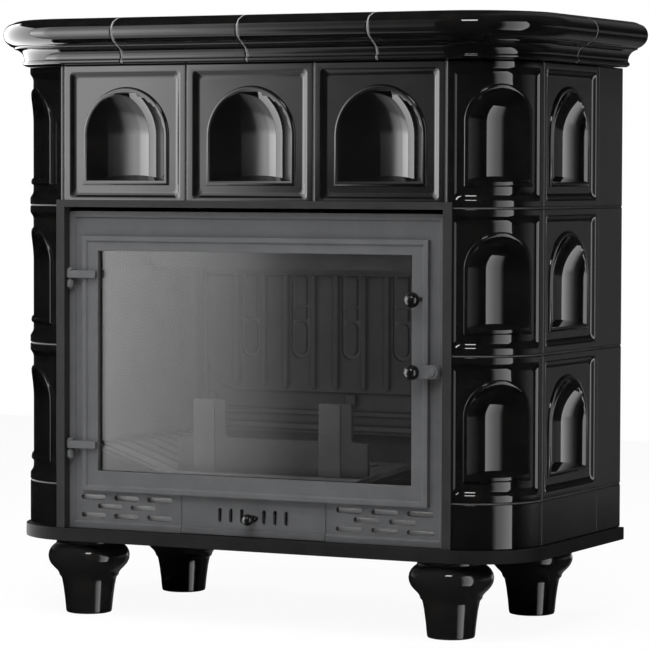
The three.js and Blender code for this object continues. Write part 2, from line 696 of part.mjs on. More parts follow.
const plinthLow = plateTop + SEAT;
const plinthHigh = plateTop + PLINTH_HEIGHT;
const plinthHeight = plinthHigh - plinthLow;
const plinthAngle = Math.PI / 4 - JOINT / 2 / CORNER_RADIUS;
const plinthCorner = raised(frontSector(innerCorner, CORNER_RADIUS, plinthAngle), 0, plinthHeight, 5);
const plinthSide = block(-TILE_SIZE / 2, TILE_SIZE / 2, 0, TILE_DEPTH, 0, plinthHeight);
const plinthStrip = block(-STRIP_WIDTH / 2, STRIP_WIDTH / 2, 0, TILE_DEPTH, 0, plinthHeight);
for (const [sideName, side] of sides) {
  const corner = place(`plinth_corner_${sideName}`, plinthCorner, glaze, tiles);
  corner.position.set(side * frontHalf, CORNER_RADIUS, plinthLow);
  corner.rotation.z = (side * Math.PI) / 4;
  const flank = place(`plinth_side_${sideName}`, plinthSide, glaze, tiles);
  flank.position.set(side * bodyHalf, sideTileY, plinthLow);
  flank.rotation.z = (side * Math.PI) / 2;
  const strip = place(`plinth_strip_${sideName}`, plinthStrip, glaze, tiles);
  strip.position.set(side * bodyHalf, bodyDepth - STRIP_WIDTH / 2, plinthLow);
  strip.rotation.z = (side * Math.PI) / 2;
}

// ---------------------------------------------------------------- cornice

// The moulding's section: out from the tile face, up from the bed. The round nose is an ellipse.
function corniceSection() {
  const noseX = CORNICE_REACH - NOSE_WIDTH;
  const section = new THREE.Shape();
  section.moveTo(-TILE_DEPTH + ARC_EASE, rowsTop + SEAT);
  section.lineTo(NECK_REACH, rowsTop + SEAT);
  const beadingZ = rowsTop + BEADING_LEVEL;
  const beadingX = NECK_REACH + BEADING_RADIUS - FUSE;
  section.absarc(beadingX, beadingZ, BEADING_RADIUS, -BEADING_ARC, BEADING_ARC, false);
  const coveX = NECK_REACH + COVE_START;
  const coveZ = rowsTop + COVE_LEVEL;
  section.lineTo(coveX - FUSE, beadingZ + BEADING_RADIUS + FUSE);
  section.quadraticCurveTo(coveX, coveZ - COVE_START, COVE_REACH, coveZ);
  const noseZ = rowsTop + NOSE_LEVEL;
  section.absellipse(noseX, noseZ, NOSE_WIDTH, NOSE_HEIGHT, NOSE_START, NOSE_END, false);
  section.quadraticCurveTo(noseX - NOSE_WIDTH / 3, stoveTop, noseX - NOSE_WIDTH, stoveTop);
  section.lineTo(-TILE_DEPTH + ARC_EASE, stoveTop);
  section.closePath();
  return section;
}

const section = corniceSection();
const cornice = new THREE.Group();
stove.add(cornice);

for (const [sideName, side] of sides) {
  const near = (side * JOINT) / 2;
  const far = side * (pitch - JOINT / 2);
  const front = [near, far].map((x) => ({ x, y: 0, nx: 0, ny: -1 }));
  place(`cornice_front_${sideName}`, geometryOf(swept(section, front)), glaze, cornice);

  const steps = 8;
  const stations = [{ x: side * (pitch + JOINT / 2), y: 0, nx: 0, ny: -1 }];
  for (let i = 0; i <= steps; i += 1) {
    const angle = (i / steps) * (Math.PI / 2);
    const nx = side * Math.sin(angle);
    const ny = -Math.cos(angle);
    const x = side * frontHalf + CORNER_RADIUS * nx;
    stations.push({ x, y: CORNER_RADIUS + CORNER_RADIUS * ny, nx, ny });
  }
  stations.push({ x: side * bodyHalf, y: sideTileY - JOINT / 2, nx: side, ny: 0 });
  place(`cornice_corner_${sideName}`, geometryOf(swept(section, stations)), glaze, cornice);

  const flankEnds = [sideTileY + JOINT / 2, bodyDepth];
  const flank = flankEnds.map((y) => ({ x: side * bodyHalf, y, nx: side, ny: 0 }));
  place(`cornice_side_${sideName}`, geometryOf(swept(section, flank)), glaze, cornice);
}

// ---------------------------------------------------------------- casing and top plate

const topPlateTop = stoveTop - TOP_PLATE_DROP;
const topPlateBottom = topPlateTop - TOP_PLATE_THICKNESS;
const casingInset = TILE_DEPTH + SEAT;
const casing = cut(
  raised(bodyPlan(casingInset, bodyDepth), plateTop + SEAT, topPlateBottom - SEAT),
  raised(
    bodyPlan(casingInset + CASING_SHEET, bodyDepth - CASING_SHEET),
    plateTop,
    topPlateBottom + OVERCUT,
  ),
  block(
    -frontHalf,
    frontHalf,
    casingInset - OVERCUT,
    casingInset + CASING_SHEET + OVERCUT,
    plateTop,
    openingTop - SURROUND_SHEET,
  ),
);
place('steel_casing', casing, sheetSteel);

const flueHole = rod(FLUE_RADIUS + SEAT + ARC_EASE, plateTop, stoveTop, 24).translate(0, FLUE_SETBACK, 0);
const topPlan = bodyPlan(TILE_DEPTH + SEAT, bodyDepth - SEAT);
place('top_plate', cut(raised(topPlan, topPlateBottom, topPlateTop), flueHole), darkSteel);

// ---------------------------------------------------------------- surround

function hoop(outerHalf, outerTop, innerHalf, innerTop, y0, y1) {
  const outer = block(-outerHalf, outerHalf, y0, y1, frameBottom, outerTop);
  const inner = block(
    -innerHalf,
    innerHalf,
    y0 - OVERCUT,
    y1 + OVERCUT,
    frameBottom - OVERCUT,
    innerTop,
  );
  return cut(outer, inner);
}

const surroundInner = surroundHalf - SURROUND_SHEET;
const surroundInnerTop = surroundTop - SURROUND_SHEET;
const surroundFace = hoop(
  frontHalf + SURROUND_LIP_SIDE,
  openingTop + SURROUND_LIP_TOP,
  surroundInner,
  surroundInnerTop,
  -SURROUND_SHEET - SEAT,
  -SEAT,
);
const returnFront = -SEAT - FUSE;
const surroundReturn = hoop(
  surroundHalf,
  surroundTop,
  surroundInner,
  surroundInnerTop,
  returnFront,
  TILE_DEPTH,
);
place('surround', join(surroundFace, surroundReturn), darkSteel);

// ---------------------------------------------------------------- front frame

function ventSlots() {
  const slots = [];
  const reach = frameHalf - VENT_EDGE - VENT_LENGTH / 2;
  VENT_ROWS.forEach((level, row) => {
    const shift = row % 2 === 1 ? VENT_PITCH / 2 : 0;
    for (let x = DRAWER_HALF_WIDTH + VENT_START + shift; x <= reach; x += VENT_PITCH) {
      for (const side of [-1, 1]) {
        const outline = slot(side * x, plateTop + level, VENT_LENGTH, VENT_HEIGHT);
        slots.push(carriedBack(outline, FRAME_RECESS - OVERCUT, frameBack + OVERCUT, 1));
      }
    }
  });
  return slots;
}

function hingeBarrel(armBottom) {
  const high = armBottom - HINGE_BARREL_GAP;
  const low = high - HINGE_EYE_HEIGHT;
  const barrel = rod(HINGE_EYE_RADIUS - HINGE_PIN_GAP, low, high).translate(hingeX, hingeY, 0);
  const neckHalf = HINGE_BARREL_NECK;
  const neck = block(hingeX - neckHalf, hingeX + neckHalf, hingeY, FRAME_RECESS + FUSE, low, high);
  return join(barrel, neck);
}

function hingeBore(bottom, top) {
  return rod(HINGE_PIN_RADIUS + HINGE_PIN_GAP, bottom, top).translate(hingeX, hingeY, 0);
}

const upperArmBottom = doorTop - UPPER_HINGE_DROP - HINGE_EYE_HEIGHT;
const lowerArmBottom = doorBottom + LOWER_HINGE_RISE;
const armBottoms = [upperArmBottom, lowerArmBottom];

function frontFrame() {
  const rim = FRAME_RIM;
  const plate = join(
    block(-frameHalf, frameHalf, frameFace, frameBack, frameBottom, frameTop),
    cut(
      block(-frameHalf, frameHalf, FRAME_RECESS, frameFace + OVERCUT, frameBottom, frameTop),
      block(
        -frameHalf + rim,
        frameHalf - rim,
        FRAME_RECESS - OVERCUT,
        frameFace,
        frameBottom + rim,
        frameTop - rim,
      ),
    ),
    ...armBottoms.map(hingeBarrel),
  );
  const mouth = block(
    -mouthHalf,
    mouthHalf,
    FRAME_RECESS - OVERCUT,
    frameBack + OVERCUT,
    mouthBottom,
    mouthTop,
  );
  const drawerMouth = block(
    -DRAWER_HALF_WIDTH,
    DRAWER_HALF_WIDTH,
    FRAME_RECESS - OVERCUT,
    frameBack + OVERCUT,
    frameBottom - OVERCUT,
    doorBottom,
  );
  const barrelReach = HINGE_BARREL_GAP + HINGE_EYE_HEIGHT + OVERCUT;
  const bores = armBottoms.map((bottom) => hingeBore(bottom - barrelReach, bottom));
  return cut(plate, mouth, drawerMouth, ...ventSlots(), ...bores);
}

const insert = new THREE.Group();
stove.add(insert);
place('front_frame', frontFrame(), castIron, insert);

// ---------------------------------------------------------------- door

function hingeArm(bottom) {
  const top = bottom + HINGE_EYE_HEIGHT;
  const eye = rod(HINGE_EYE_RADIUS, bottom, top).translate(hingeX, hingeY, 0);
  const front = hingeY - HINGE_EYE_RADIUS + HINGE_ARM_EASE;
  const seatY = doorFace + DOOR_STEP + FUSE;
  const bar = block(hingeX, -doorHalf + HINGE_ARM_REACH, front, seatY, bottom, top);
  const root = block(hingeX, -doorHalf + FUSE, front, hingeY + HINGE_ARM_ROOT, bottom, top);
  return cut(join(eye, bar, root), hingeBore(bottom - OVERCUT, top + OVERCUT));
}

function doorPlate() {
  const body = block(-doorHalf, doorHalf, doorFace, doorBack, doorBottom, doorTop);
  const rim = DOOR_RIM;
  const tray = block(
    -doorHalf + rim,
    doorHalf - rim,
    doorFace - OVERCUT,
    doorFace + DOOR_STEP,
    doorBottom + rim,
    doorTop - rim,
  );
  const window = block(
    -glassHalf,
    glassHalf,
    doorFace - OVERCUT,
    doorBack + OVERCUT,
    glassBottom,
    glassTop,
  );
  return cut(body, tray, window);
}

const paneHalf = glassHalf + GLASS_LAP;
const paneTop = glassTop + GLASS_LAP;
const paneBottom = glassBottom - GLASS_LAP;

function doorSpigot() {
  const room = SEAT;
  const wall = room + SPIGOT_WALL;
  const outer = block(
    -paneHalf - wall,
    paneHalf + wall,
    doorBack - FUSE,
    doorBack + SPIGOT_DEPTH,
    paneBottom - wall,
    paneTop + wall,
  );
  const inner = block(
    -paneHalf - room,
    paneHalf + room,
    doorBack - FUSE - OVERCUT,
    doorBack + SPIGOT_DEPTH + OVERCUT,
    paneBottom - room,
    paneTop + room,
  );
  return cut(outer, inner);
}

function latchEar() {
  const halfHeight = LATCH_BAR_HEIGHT / 2;
  const outline = roundedRectangle(
    doorHalf - LATCH_EAR_REACH,
    latchX + halfHeight,
    latchZ - halfHeight,
    latchZ + halfHeight,
    LATCH_EAR_CORNER,
  );
  return carriedBack(outline, earFace, doorFace + DOOR_STEP + FUSE, 2);
}

// The ear continues behind the door's face beside its edge, so that it is as deep as the border.
function latchEarRoot() {
  const halfHeight = LATCH_BAR_HEIGHT / 2 - LATCH_ROOT_MARGIN;
  return block(
    doorHalf - LATCH_ROOT_MARGIN,
    latchX + LATCH_BAR_HEIGHT / 2 - LATCH_ROOT_MARGIN,
    doorFace - FUSE,
    doorFace + LATCH_ROOT_DEPTH,
    latchZ - halfHeight,
    latchZ + halfHeight,
  );
}

const latchBoreRadius = LATCH_SCREW_RADIUS + LATCH_SCREW_GAP;
const latchBore = turnedForward(
  [
    [0, -doorBack],
    [latchBoreRadius, -doorBack],
    [latchBoreRadius, -leverFace + OVERCUT],
    [0, -leverFace + OVERCUT],
  ],
  12,
).translate(latchX, 0, latchZ);

const doorFrame = cut(
  join(doorPlate(), doorSpigot(), latchEar(), latchEarRoot(), ...armBottoms.map(hingeArm)),
  latchBore,
);
const door = new THREE.Group();
insert.add(door);
place('door_frame', doorFrame, castIron, door);

const paneFront = doorBack + SEAT;
const paneShape = block(-paneHalf, paneHalf, paneFront, paneFront + GLASS_THICKNESS, paneBottom, paneTop);
place('door_glass', paneShape, glass, door);

['upper', 'lower'].forEach((level, i) => {
  const armBottom = armBottoms[i];
  const low = armBottom - HINGE_BARREL_GAP - HINGE_EYE_HEIGHT - HINGE_PIN_HEAD;
  const high = armBottom + HINGE_EYE_HEIGHT + SEAT;
  const profile = [
    [0, low],
    [HINGE_PIN_RADIUS, low],
    [HINGE_PIN_RADIUS, high],
    [HINGE_PIN_RADIUS + HINGE_PIN_HEAD, high],
    [HINGE_PIN_RADIUS + HINGE_PIN_HEAD - 1, high + HINGE_PIN_HEAD_HEIGHT - 1],
    [0, high + HINGE_PIN_HEAD_HEIGHT],
  ];
  const pin = place(`hinge_pin_${level}`, turned(profile, 12), castIron, insert);
  pin.position.set(hingeX, hingeY, 0);
});

// A ball on a neck, its foot at the origin and its centre a reach in front of it.
function ballKnob(radius, neckRadius, reach, segments, rings) {
  const start = Math.asin(neckRadius / radius);
  const profile = [[0, 0], [neckRadius, 0]];
  for (let i = 0; i <= rings; i += 1) {
    const angle = start + (i / rings) * (Math.PI - start);
    profile.push([radius * Math.sin(angle), reach - radius * Math.cos(angle)]);
  }
  profile[profile.length - 1][0] = 0;
  return turnedForward(profile, segments);
}

const knobFoot = doorFace + DOOR_STEP - SEAT;
const pullKnob = ballKnob(KNOB_RADIUS, KNOB_NECK_RADIUS, knobFoot - knobY, 16, 8);
place('door_knob', pullKnob, blackKnob, door).position.set(knobX, knobFoot, pullKnobZ);

// ---------------------------------------------------------------- latch

const leverOutline = roundedRectangle(
  knobX - LATCH_BAR_HEIGHT / 2,
  latchX + LATCH_BAR_HEIGHT / 2,
  latchZ - LATCH_BAR_HEIGHT / 2,
  latchZ + LATCH_BAR_HEIGHT / 2,
  LATCH_BAR_HEIGHT / 2 - SEAT,
);
const latch = new THREE.Group();
door.add(latch);
place('latch_lever', cut(carriedBack(leverOutline, leverFace, leverBack, 3), latchBore), castIron, latch);

const latchKnobFoot = leverFace - SEAT;
const latchKnob = ballKnob(KNOB_RADIUS, KNOB_NECK_RADIUS, latchKnobFoot - knobY, 16, 8);
place('latch_knob', latchKnob, blackKnob, latch).position.set(knobX, latchKnobFoot, latchZ);

const screwEnd = -(doorFace + LATCH_ROOT_DEPTH);
const screwSeat = -leverFace + SEAT;
const screwHead = LATCH_SCREW_RADIUS + LATCH_SCREW_HEAD;
const screwProfile = [
  [0, screwEnd],
  [LATCH_SCREW_RADIUS, screwEnd],
  [LATCH_SCREW_RADIUS, screwSeat],
  [screwHead, screwSeat],
  [screwHead - 1, screwSeat + LATCH_SCREW_HEAD_HEIGHT - 1],
  [0, screwSeat + LATCH_SCREW_HEAD_HEIGHT],
];
place('latch_screw', turnedForward(screwProfile, 12), castIron, door).position.set(latchX, 0, latchZ);

// ---------------------------------------------------------------- ash drawer and air slide

const drawerHalf = DRAWER_HALF_WIDTH - DRAWER_GAP;
const drawerBack = frameFace + DRAWER_FRONT_THICKNESS;
const slideFront = drawerBack + SEAT;
const slideBack = slideFront + SLIDE_SHEET;
const slideHalf = AIR_SLOTS_PER_SIDE * AIR_SLOT_PITCH + AIR_SLOT_WIDTH / 2 + SLIDE_MARGIN;
const slideLow = slotLevel - AIR_SLOT_HEIGHT / 2 - SLIDE_LAP;
const slideHigh = slotLevel + AIR_SLOT_HEIGHT / 2 + SLIDE_LAP;
const knobLevel = plateTop + SLIDE_KNOB_LEVEL;

function airSlots(shift, y0, y1) {
  const slots = [];
  for (let i = 1; i <= AIR_SLOTS_PER_SIDE; i += 1) {
    for (const side of [-1, 1]) {
      const outline = slot(side * i * AIR_SLOT_PITCH + shift, slotLevel, AIR_SLOT_WIDTH, AIR_SLOT_HEIGHT);
      slots.push(carriedBack(outline, y0, y1, 1));
    }
  }
  return slots;
}

function ashDrawer() {
  const boxHalfWidth = drawerHalf - DRAWER_BOX_INSET;
  const boxStart = slideBack + SEAT;
  const boxEnd = boxStart + DRAWER_BOX_LENGTH;
  const boxTopZ = frameBottom + DRAWER_BOX_HEIGHT;
  const low = frameBottom + DRAWER_GAP;
  const front = block(-drawerHalf, drawerHalf, frameFace, drawerBack, low, drawerTop);
  const lip = block(
    -drawerHalf,
    drawerHalf,
    FRAME_RECESS,
    frameFace + FUSE,
    frameBottom + DRAWER_GAP,
    frameBottom + FRAME_RIM,
  );
  const pan = cut(
    block(-boxHalfWidth, boxHalfWidth, boxStart, boxEnd, frameBottom, boxTopZ),
    block(
      -boxHalfWidth + DRAWER_SHEET,
      boxHalfWidth - DRAWER_SHEET,
      boxStart + DRAWER_SHEET,
      boxEnd - DRAWER_SHEET,
      frameBottom + DRAWER_SHEET,
      boxTopZ + OVERCUT,
    ),
    block(
      -slideHalf,
      slideHalf,
      boxStart - OVERCUT,
      boxStart + 2 * DRAWER_SHEET,
      slideLow,
      boxTopZ + OVERCUT,
    ),
  );
  const railTop = slideLow - SEAT;
  const lowerRail = block(
    -boxHalfWidth,
    boxHalfWidth,
    drawerBack - FUSE,
    boxStart + FUSE,
    frameBottom + DRAWER_GAP,
    railTop,
  );
  const ends = [-1, 1].map((side) => {
    const inner = slideHalf + SLIDE_TRAVEL + SLIDE_END_GAP;
    const xs = [side * inner, side * boxHalfWidth].sort((a, b) => a - b);
    return block(xs[0], xs[1], drawerBack - FUSE, boxStart + FUSE, railTop - FUSE, boxTopZ);
  });
  const stemRoom = SLIDE_STEM_RADIUS + SLIDE_STEM_GAP;
  const stemSlot = slot(0, knobLevel, 2 * (SLIDE_TRAVEL + stemRoom), 2 * stemRoom);
  const slotsEnd = drawerBack + SEAT / 2;
  const stemCut = carriedBack(stemSlot, FRAME_RECESS, slotsEnd, 2);
  const drawer = join(front, lip, pan, lowerRail, ...ends);
  return cut(drawer, stemCut, ...airSlots(0, frameFace - OVERCUT, slotsEnd));
}

function airSlide() {
  const plate = block(-slideHalf, slideHalf, slideFront, slideBack, slideLow, slideHigh);
  const knobCentre = frameFace - 2 * SLIDE_KNOB_RADIUS;
  const foot = slideFront + FUSE;
  const reach = foot - knobCentre;
  const knob = ballKnob(SLIDE_KNOB_RADIUS, SLIDE_STEM_RADIUS, reach, 14, 6);
  knob.translate(0, foot, knobLevel);
  const slots = airSlots(-SLIDE_TRAVEL, slideFront - OVERCUT, slideBack + OVERCUT);
  return join(cut(plate, ...slots), knob);
}

const drawer = new THREE.Group();
insert.add(drawer);
place('ash_drawer', ashDrawer(), castIron, drawer);
place('air_slide', airSlide(), castIron, drawer);

// ---------------------------------------------------------------- fire box

function fireBox() {
  const shell = cut(
    block(-boxHalf, boxHalf, boxFront, boxBack, boxBottom, boxTop),
    block(
      -boxInnerHalf,
      boxInnerHalf,
      boxFront - OVERCUT,
      boxInnerBack,
      boxBottom + FIREBOX_SHEET,
      boxTop - FIREBOX_SHEET,
    ),
  );
  const flueTop = stoveTop - FLUE_TOP_DROP;
  const pipe = rod(FLUE_RADIUS, boxTop - FIREBOX_SHEET, flueTop, 24).translate(0, FLUE_SETBACK, 0);
  const bore = rod(FLUE_RADIUS - FLUE_WALL, boxTop - 2 * FLUE_WALL, flueTop + OVERCUT, 24);
  bore.translate(0, FLUE_SETBACK, 0);
  const ashHole = block(
    -GRATE_HALF_WIDTH,
    GRATE_HALF_WIDTH,
    grateY,
    grateY + GRATE_LENGTH,
    boxBottom - OVERCUT,
    boxBottom + FIREBOX_SHEET + OVERCUT,
  );
  return cut(join(shell, pipe), bore, ashHole);
}
place('fire_box', fireBox(), sheetSteel, insert);

// Floor with a ramp up to each side, ribbed front to back, on two feet on the fire box's floor.
function hearth() {
  const edge = boxInnerHalf - SEAT;
  const foot = HEARTH_FLOOR_HALF - HEARTH_THICKNESS;
  const under = boxBottom + FIREBOX_SHEET + SEAT;
  const t = HEARTH_THICKNESS;
  const outline = polygon([
    [-edge, rampTop],
    [-edge, rampTop - t],
    [-HEARTH_FLOOR_HALF, hearthTop - t],
    [-HEARTH_FLOOR_HALF, under],
    [-foot, under],
    [-foot, hearthTop - t],
    [foot, hearthTop - t],
    [foot, under],
    [HEARTH_FLOOR_HALF, under],
    [HEARTH_FLOOR_HALF, hearthTop - t],
    [edge, rampTop - t],
    [edge, rampTop],
    [HEARTH_FLOOR_HALF, hearthTop],
    [-HEARTH_FLOOR_HALF, hearthTop],
  ]);
  const bed = carriedBack(outline, hearthFront, hearthBack);
  const grateHole = block(
    -GRATE_HALF_WIDTH,
    GRATE_HALF_WIDTH,
    grateY,
    grateY + GRATE_LENGTH,
    under - OVERCUT,
    hearthTop + OVERCUT,
  );
  const ledge = cut(
    block(
      -GRATE_HALF_WIDTH - FUSE,
      GRATE_HALF_WIDTH + FUSE,
      grateY - FUSE,
      grateY + GRATE_LENGTH + FUSE,
      under + SEAT,
      hearthTop - t + SEAT,
    ),
    block(
      -GRATE_HALF_WIDTH + GRATE_LEDGE,
      GRATE_HALF_WIDTH - GRATE_LEDGE,
      grateY + GRATE_LEDGE,
      grateY + GRATE_LENGTH - GRATE_LEDGE,
      under - OVERCUT,
      hearthTop,
    ),
  );
  const ribs = [];
  for (let y = hearthFront + HEARTH_RIB_START; y < hearthBack - HEARTH_RIB; y += HEARTH_RIB_PITCH) {
    for (const side of [-1, 1]) {
      const lower = side * (HEARTH_FLOOR_HALF + HEARTH_RIB_INSET);
      const lowerZ = hearthTop + (HEARTH_RAMP_RISE * HEARTH_RIB_INSET) / (edge - HEARTH_FLOOR_HALF);
      const rib = polygon([
        [side * edge, rampTop - FUSE],
        [side * edge, rampTop + HEARTH_RIB],
        [lower, lowerZ + HEARTH_RIB / 2],
        [lower, lowerZ - FUSE],
      ]);
      ribs.push(carriedBack(rib, y, y + HEARTH_RIB));
    }
  }
  return join(cut(bed, grateHole), ledge, ...ribs);
}
place('hearth', hearth(), sootyIron, insert);

function grate() {
  const half = GRATE_HALF_WIDTH - GRATE_GAP;
  const front = grateY + GRATE_GAP;
  const back = grateY + GRATE_LENGTH - GRATE_GAP;
  const low = hearthTop - HEARTH_THICKNESS + 2 * SEAT;
  const plate = block(-half, half, front, back, low, hearthTop);
  const step = (2 * half) / (GRATE_SLOTS + 1);
  const openings = [];
  for (let i = 1; i <= GRATE_SLOTS; i += 1) {
    const x = -half + i * step;
    openings.push(
      block(
        x - GRATE_SLOT_WIDTH / 2,
        x + GRATE_SLOT_WIDTH / 2,
        front + GRATE_FRAME,
        back - GRATE_FRAME,
        low - OVERCUT,
        hearthTop + OVERCUT,
      ),
    );
  }
  return cut(plate, ...openings);
}
place('grate', grate(), sootyIron, insert);

// A low cast wall with two posts that keep the logs off the glass.
function logGuard() {
  const low = hearthTop + SEAT;
  const wallTop = hearthTop + GUARD_WALL_HEIGHT;
  const postTop = hearthTop + GUARD_POST_HEIGHT;
  const y0 = GUARD_SETBACK;
  const y1 = y0 + GUARD_THICKNESS;
  const wall = block(-GUARD_HALF_WIDTH, GUARD_HALF_WIDTH, y0, y1, low, wallTop);
  const posts = [-1, 1].map((side) => {
    const x = side * GUARD_POST_CENTRE;
    const half = GUARD_POST_WIDTH / 2;
    const face = block(x - half, x + half, y0, y1, low, postTop);
    const spineTop = postTop - GUARD_THICKNESS;
    const spine = block(x - half / 2, x + half / 2, y1 - FUSE, y1 + GUARD_THICKNESS, low, spineTop);
    return join(face, spine);
  });
  return join(wall, ...posts);
}
place('log_guard', logGuard(), sootyIron, insert);

// ---------------------------------------------------------------- lining plates and baffle

for (const [sideName, side] of sides) {
  const low = rampTop + HEARTH_RIB + SEAT;
  const inner = side * liningFace;
  const outer = side * (boxInnerHalf - SEAT);
  const plate = block(
    Math.min(inner, outer),
    Math.max(inner, outer),
    hearthFront + LINING_SETBACK,
    firebackFace - RIB_RELIEF - PANEL_RELIEF,
    low,
    firebackTop,
  );
  place(`side_lining_${sideName}`, solid(plate), sootyIron, insert);
}

// Cast back plate: a raised panel with round lower corners, long oval bosses and upright ribs.
function fireback() {
  const half = liningFace - SEAT;
  const face = firebackFace;
  const back = face + FIREBACK_THICKNESS;
  const plate = block(-half, half, face, back, firebackBottom - FIREBACK_SKIRT, firebackTop);
  const panelHalf = half - PANEL_MARGIN;
  const panelTop = firebackTop - PANEL_MARGIN;
  const panelOutline = new THREE.Shape();
  panelOutline.moveTo(panelHalf, panelTop);
  panelOutline.lineTo(-panelHalf, panelTop);
  const arcZ = firebackBottom + PANEL_CORNER;
  const arcX = panelHalf - PANEL_CORNER;
  panelOutline.absarc(-arcX, arcZ, PANEL_CORNER, Math.PI, 1.5 * Math.PI, false);
  panelOutline.absarc(arcX, arcZ, PANEL_CORNER, 1.5 * Math.PI, 2 * Math.PI, false);
  panelOutline.closePath();
  const panelFace = face - PANEL_RELIEF;
  const panel = carriedBack(panelOutline, panelFace, face + FUSE, 3);
  const details = [];
  const columns = Math.floor((panelHalf - RIB_OFFSET - RIB_WIDTH) / BOSS_PITCH);
  for (let i = -columns; i <= columns; i += 1) {
    const x = i * BOSS_PITCH;
    const bossTop = panelTop + PANEL_MARGIN / 2;
    const bossBottom = panelTop - BOSS_LENGTH;
    const boss = slot(x, (bossTop + bossBottom) / 2, BOSS_WIDTH, bossTop - bossBottom);
    details.push(carriedBack(boss, panelFace - BOSS_RELIEF, panelFace + FUSE, 2));
    const size = BLOCK_SIZE / 2;
    const blockZ = panelTop - BLOCK_DROP;
    const blockFace = panelFace - BLOCK_RELIEF;
    details.push(block(x - size, x + size, blockFace, panelFace + FUSE, blockZ - size, blockZ + size));
    for (const side of [-1, 1]) {
      const ribX = x + side * RIB_OFFSET;
      const ribReach = Math.min(Math.max(Math.abs(ribX) - arcX, 0), PANEL_CORNER);
      const ribDrop = PANEL_CORNER - Math.sqrt(PANEL_CORNER ** 2 - ribReach ** 2);
      details.push(
        block(
          ribX - RIB_WIDTH / 2,
          ribX + RIB_WIDTH / 2,
          panelFace - RIB_RELIEF,
          panelFace + FUSE,
          firebackBottom + ribDrop + RIB_MARGIN,
          panelTop,
        ),
      );
    }
  }
  const railFace = panelFace - RIB_RELIEF;
  const railTop = firebackTop - RAIL_DROP;
  const rail = block(-panelHalf, panelHalf, railFace, face + FUSE, panelTop, railTop);
  const padBack = boxInnerBack - SEAT;
  const pads = [-1, 1].map((side) => {
    const x = side * (half - PAD_INSET);
    const padHalf = PAD_WIDTH / 2;
    return block(x - padHalf, x + padHalf, back - FUSE, padBack, firebackBottom, panelTop);
  });
  return join(plate, panel, rail, ...details, ...pads);
}
place('fireback', fireback(), sootyIron, insert);

const baffleBottom = firebackTop + BAFFLE_GAP;
const baffleBack = boxInnerBack - SEAT;
const baffle = join(
  block(
    -boxInnerHalf + SEAT,
    boxInnerHalf - SEAT,
    baffleBack - BAFFLE_LENGTH,
    baffleBack,
    baffleBottom,
    baffleBottom + BAFFLE_THICKNESS,
  ),
  block(
    -boxInnerHalf + SEAT,
    boxInnerHalf - SEAT,
    baffleBack - BAFFLE_LENGTH,
    baffleBack - BAFFLE_LENGTH + BAFFLE_THICKNESS,
    baffleBottom - BAFFLE_GAP,
    baffleBottom + FUSE,
  ),
);
place('baffle', baffle, sootyIron, insert);

export default stove;
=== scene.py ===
"""A black tiled wood stove with a cast-iron fire insert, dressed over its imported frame.

Relief tiles, cornice, feet, insert and hearth are modelled here in metres, in the frame's own axes:
+X to the right across the front, +Y to the back, +Z up, with the floor at z = 0.
"""

import json
import math

import bpy
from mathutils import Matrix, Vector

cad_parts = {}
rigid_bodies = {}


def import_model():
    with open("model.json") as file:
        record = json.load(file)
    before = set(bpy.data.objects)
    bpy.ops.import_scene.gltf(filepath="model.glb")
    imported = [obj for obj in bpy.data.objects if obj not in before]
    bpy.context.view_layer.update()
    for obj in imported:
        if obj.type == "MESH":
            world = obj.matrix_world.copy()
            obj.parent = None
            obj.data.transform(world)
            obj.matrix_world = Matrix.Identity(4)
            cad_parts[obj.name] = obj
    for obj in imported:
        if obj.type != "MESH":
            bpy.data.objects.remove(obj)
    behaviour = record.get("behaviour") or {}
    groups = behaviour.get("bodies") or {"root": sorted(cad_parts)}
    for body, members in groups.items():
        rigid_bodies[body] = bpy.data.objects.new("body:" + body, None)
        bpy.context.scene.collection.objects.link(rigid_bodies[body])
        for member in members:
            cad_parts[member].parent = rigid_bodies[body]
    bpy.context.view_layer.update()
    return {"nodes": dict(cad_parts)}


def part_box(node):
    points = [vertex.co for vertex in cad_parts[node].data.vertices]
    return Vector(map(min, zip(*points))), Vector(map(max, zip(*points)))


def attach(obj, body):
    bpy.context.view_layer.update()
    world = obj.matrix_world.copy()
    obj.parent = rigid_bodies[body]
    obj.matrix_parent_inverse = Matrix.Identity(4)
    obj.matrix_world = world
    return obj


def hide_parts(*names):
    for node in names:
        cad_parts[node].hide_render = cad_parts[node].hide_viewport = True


bl_info = {
    "name": "Tiled stove",
    "version": (1, 0, 0),
    "blender": (4, 5, 0),
    "location": "View3D > Sidebar > Stove",
    "description": "Builds the glazed tiles, the cast insert and the studio of a tiled stove",
    "category": "Object",
}

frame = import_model()
NODES = frame["nodes"]

MM = 0.001
TAU = 2 * math.pi
SIDES = (("left", -1), ("right", 1))
ROWS = ("bottom", "middle", "top")
COLUMNS = ("left", "centre", "right")


def mm(*values):
    return tuple(value * MM for value in values)


# The places that pieces share, read from the frame.
TILE_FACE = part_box("front_tile_centre")[0].y
TILE_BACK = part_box("front_tile_centre")[1].y
TILE_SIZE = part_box("front_tile_centre")[1].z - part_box("front_tile_centre")[0].z
TILE_DEPTH = TILE_BACK - TILE_FACE
FRONT_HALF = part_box("front_tile_right")[1].x + MM
BODY_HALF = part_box("side_tile_right_top")[1].x
CORNER_RADIUS = BODY_HALF - FRONT_HALF
CORNER_Y = TILE_FACE + CORNER_RADIUS
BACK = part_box("side_strip_right_top")[1].y
PLATE_LOW, PLATE_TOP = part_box("base_plate")[0].z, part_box("base_plate")[1].z
CORNICE_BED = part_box("cornice_front_left")[0].z

# Places on the insert that the front frame and the door share, in millimetres.
HINGE_AXIS = (-323.5, -191, 0)
HINGE_ARMS = (539.2, 268.0)
LATCH_LEVEL = 407.2


# ------------------------------------------------------------------ modelling helpers


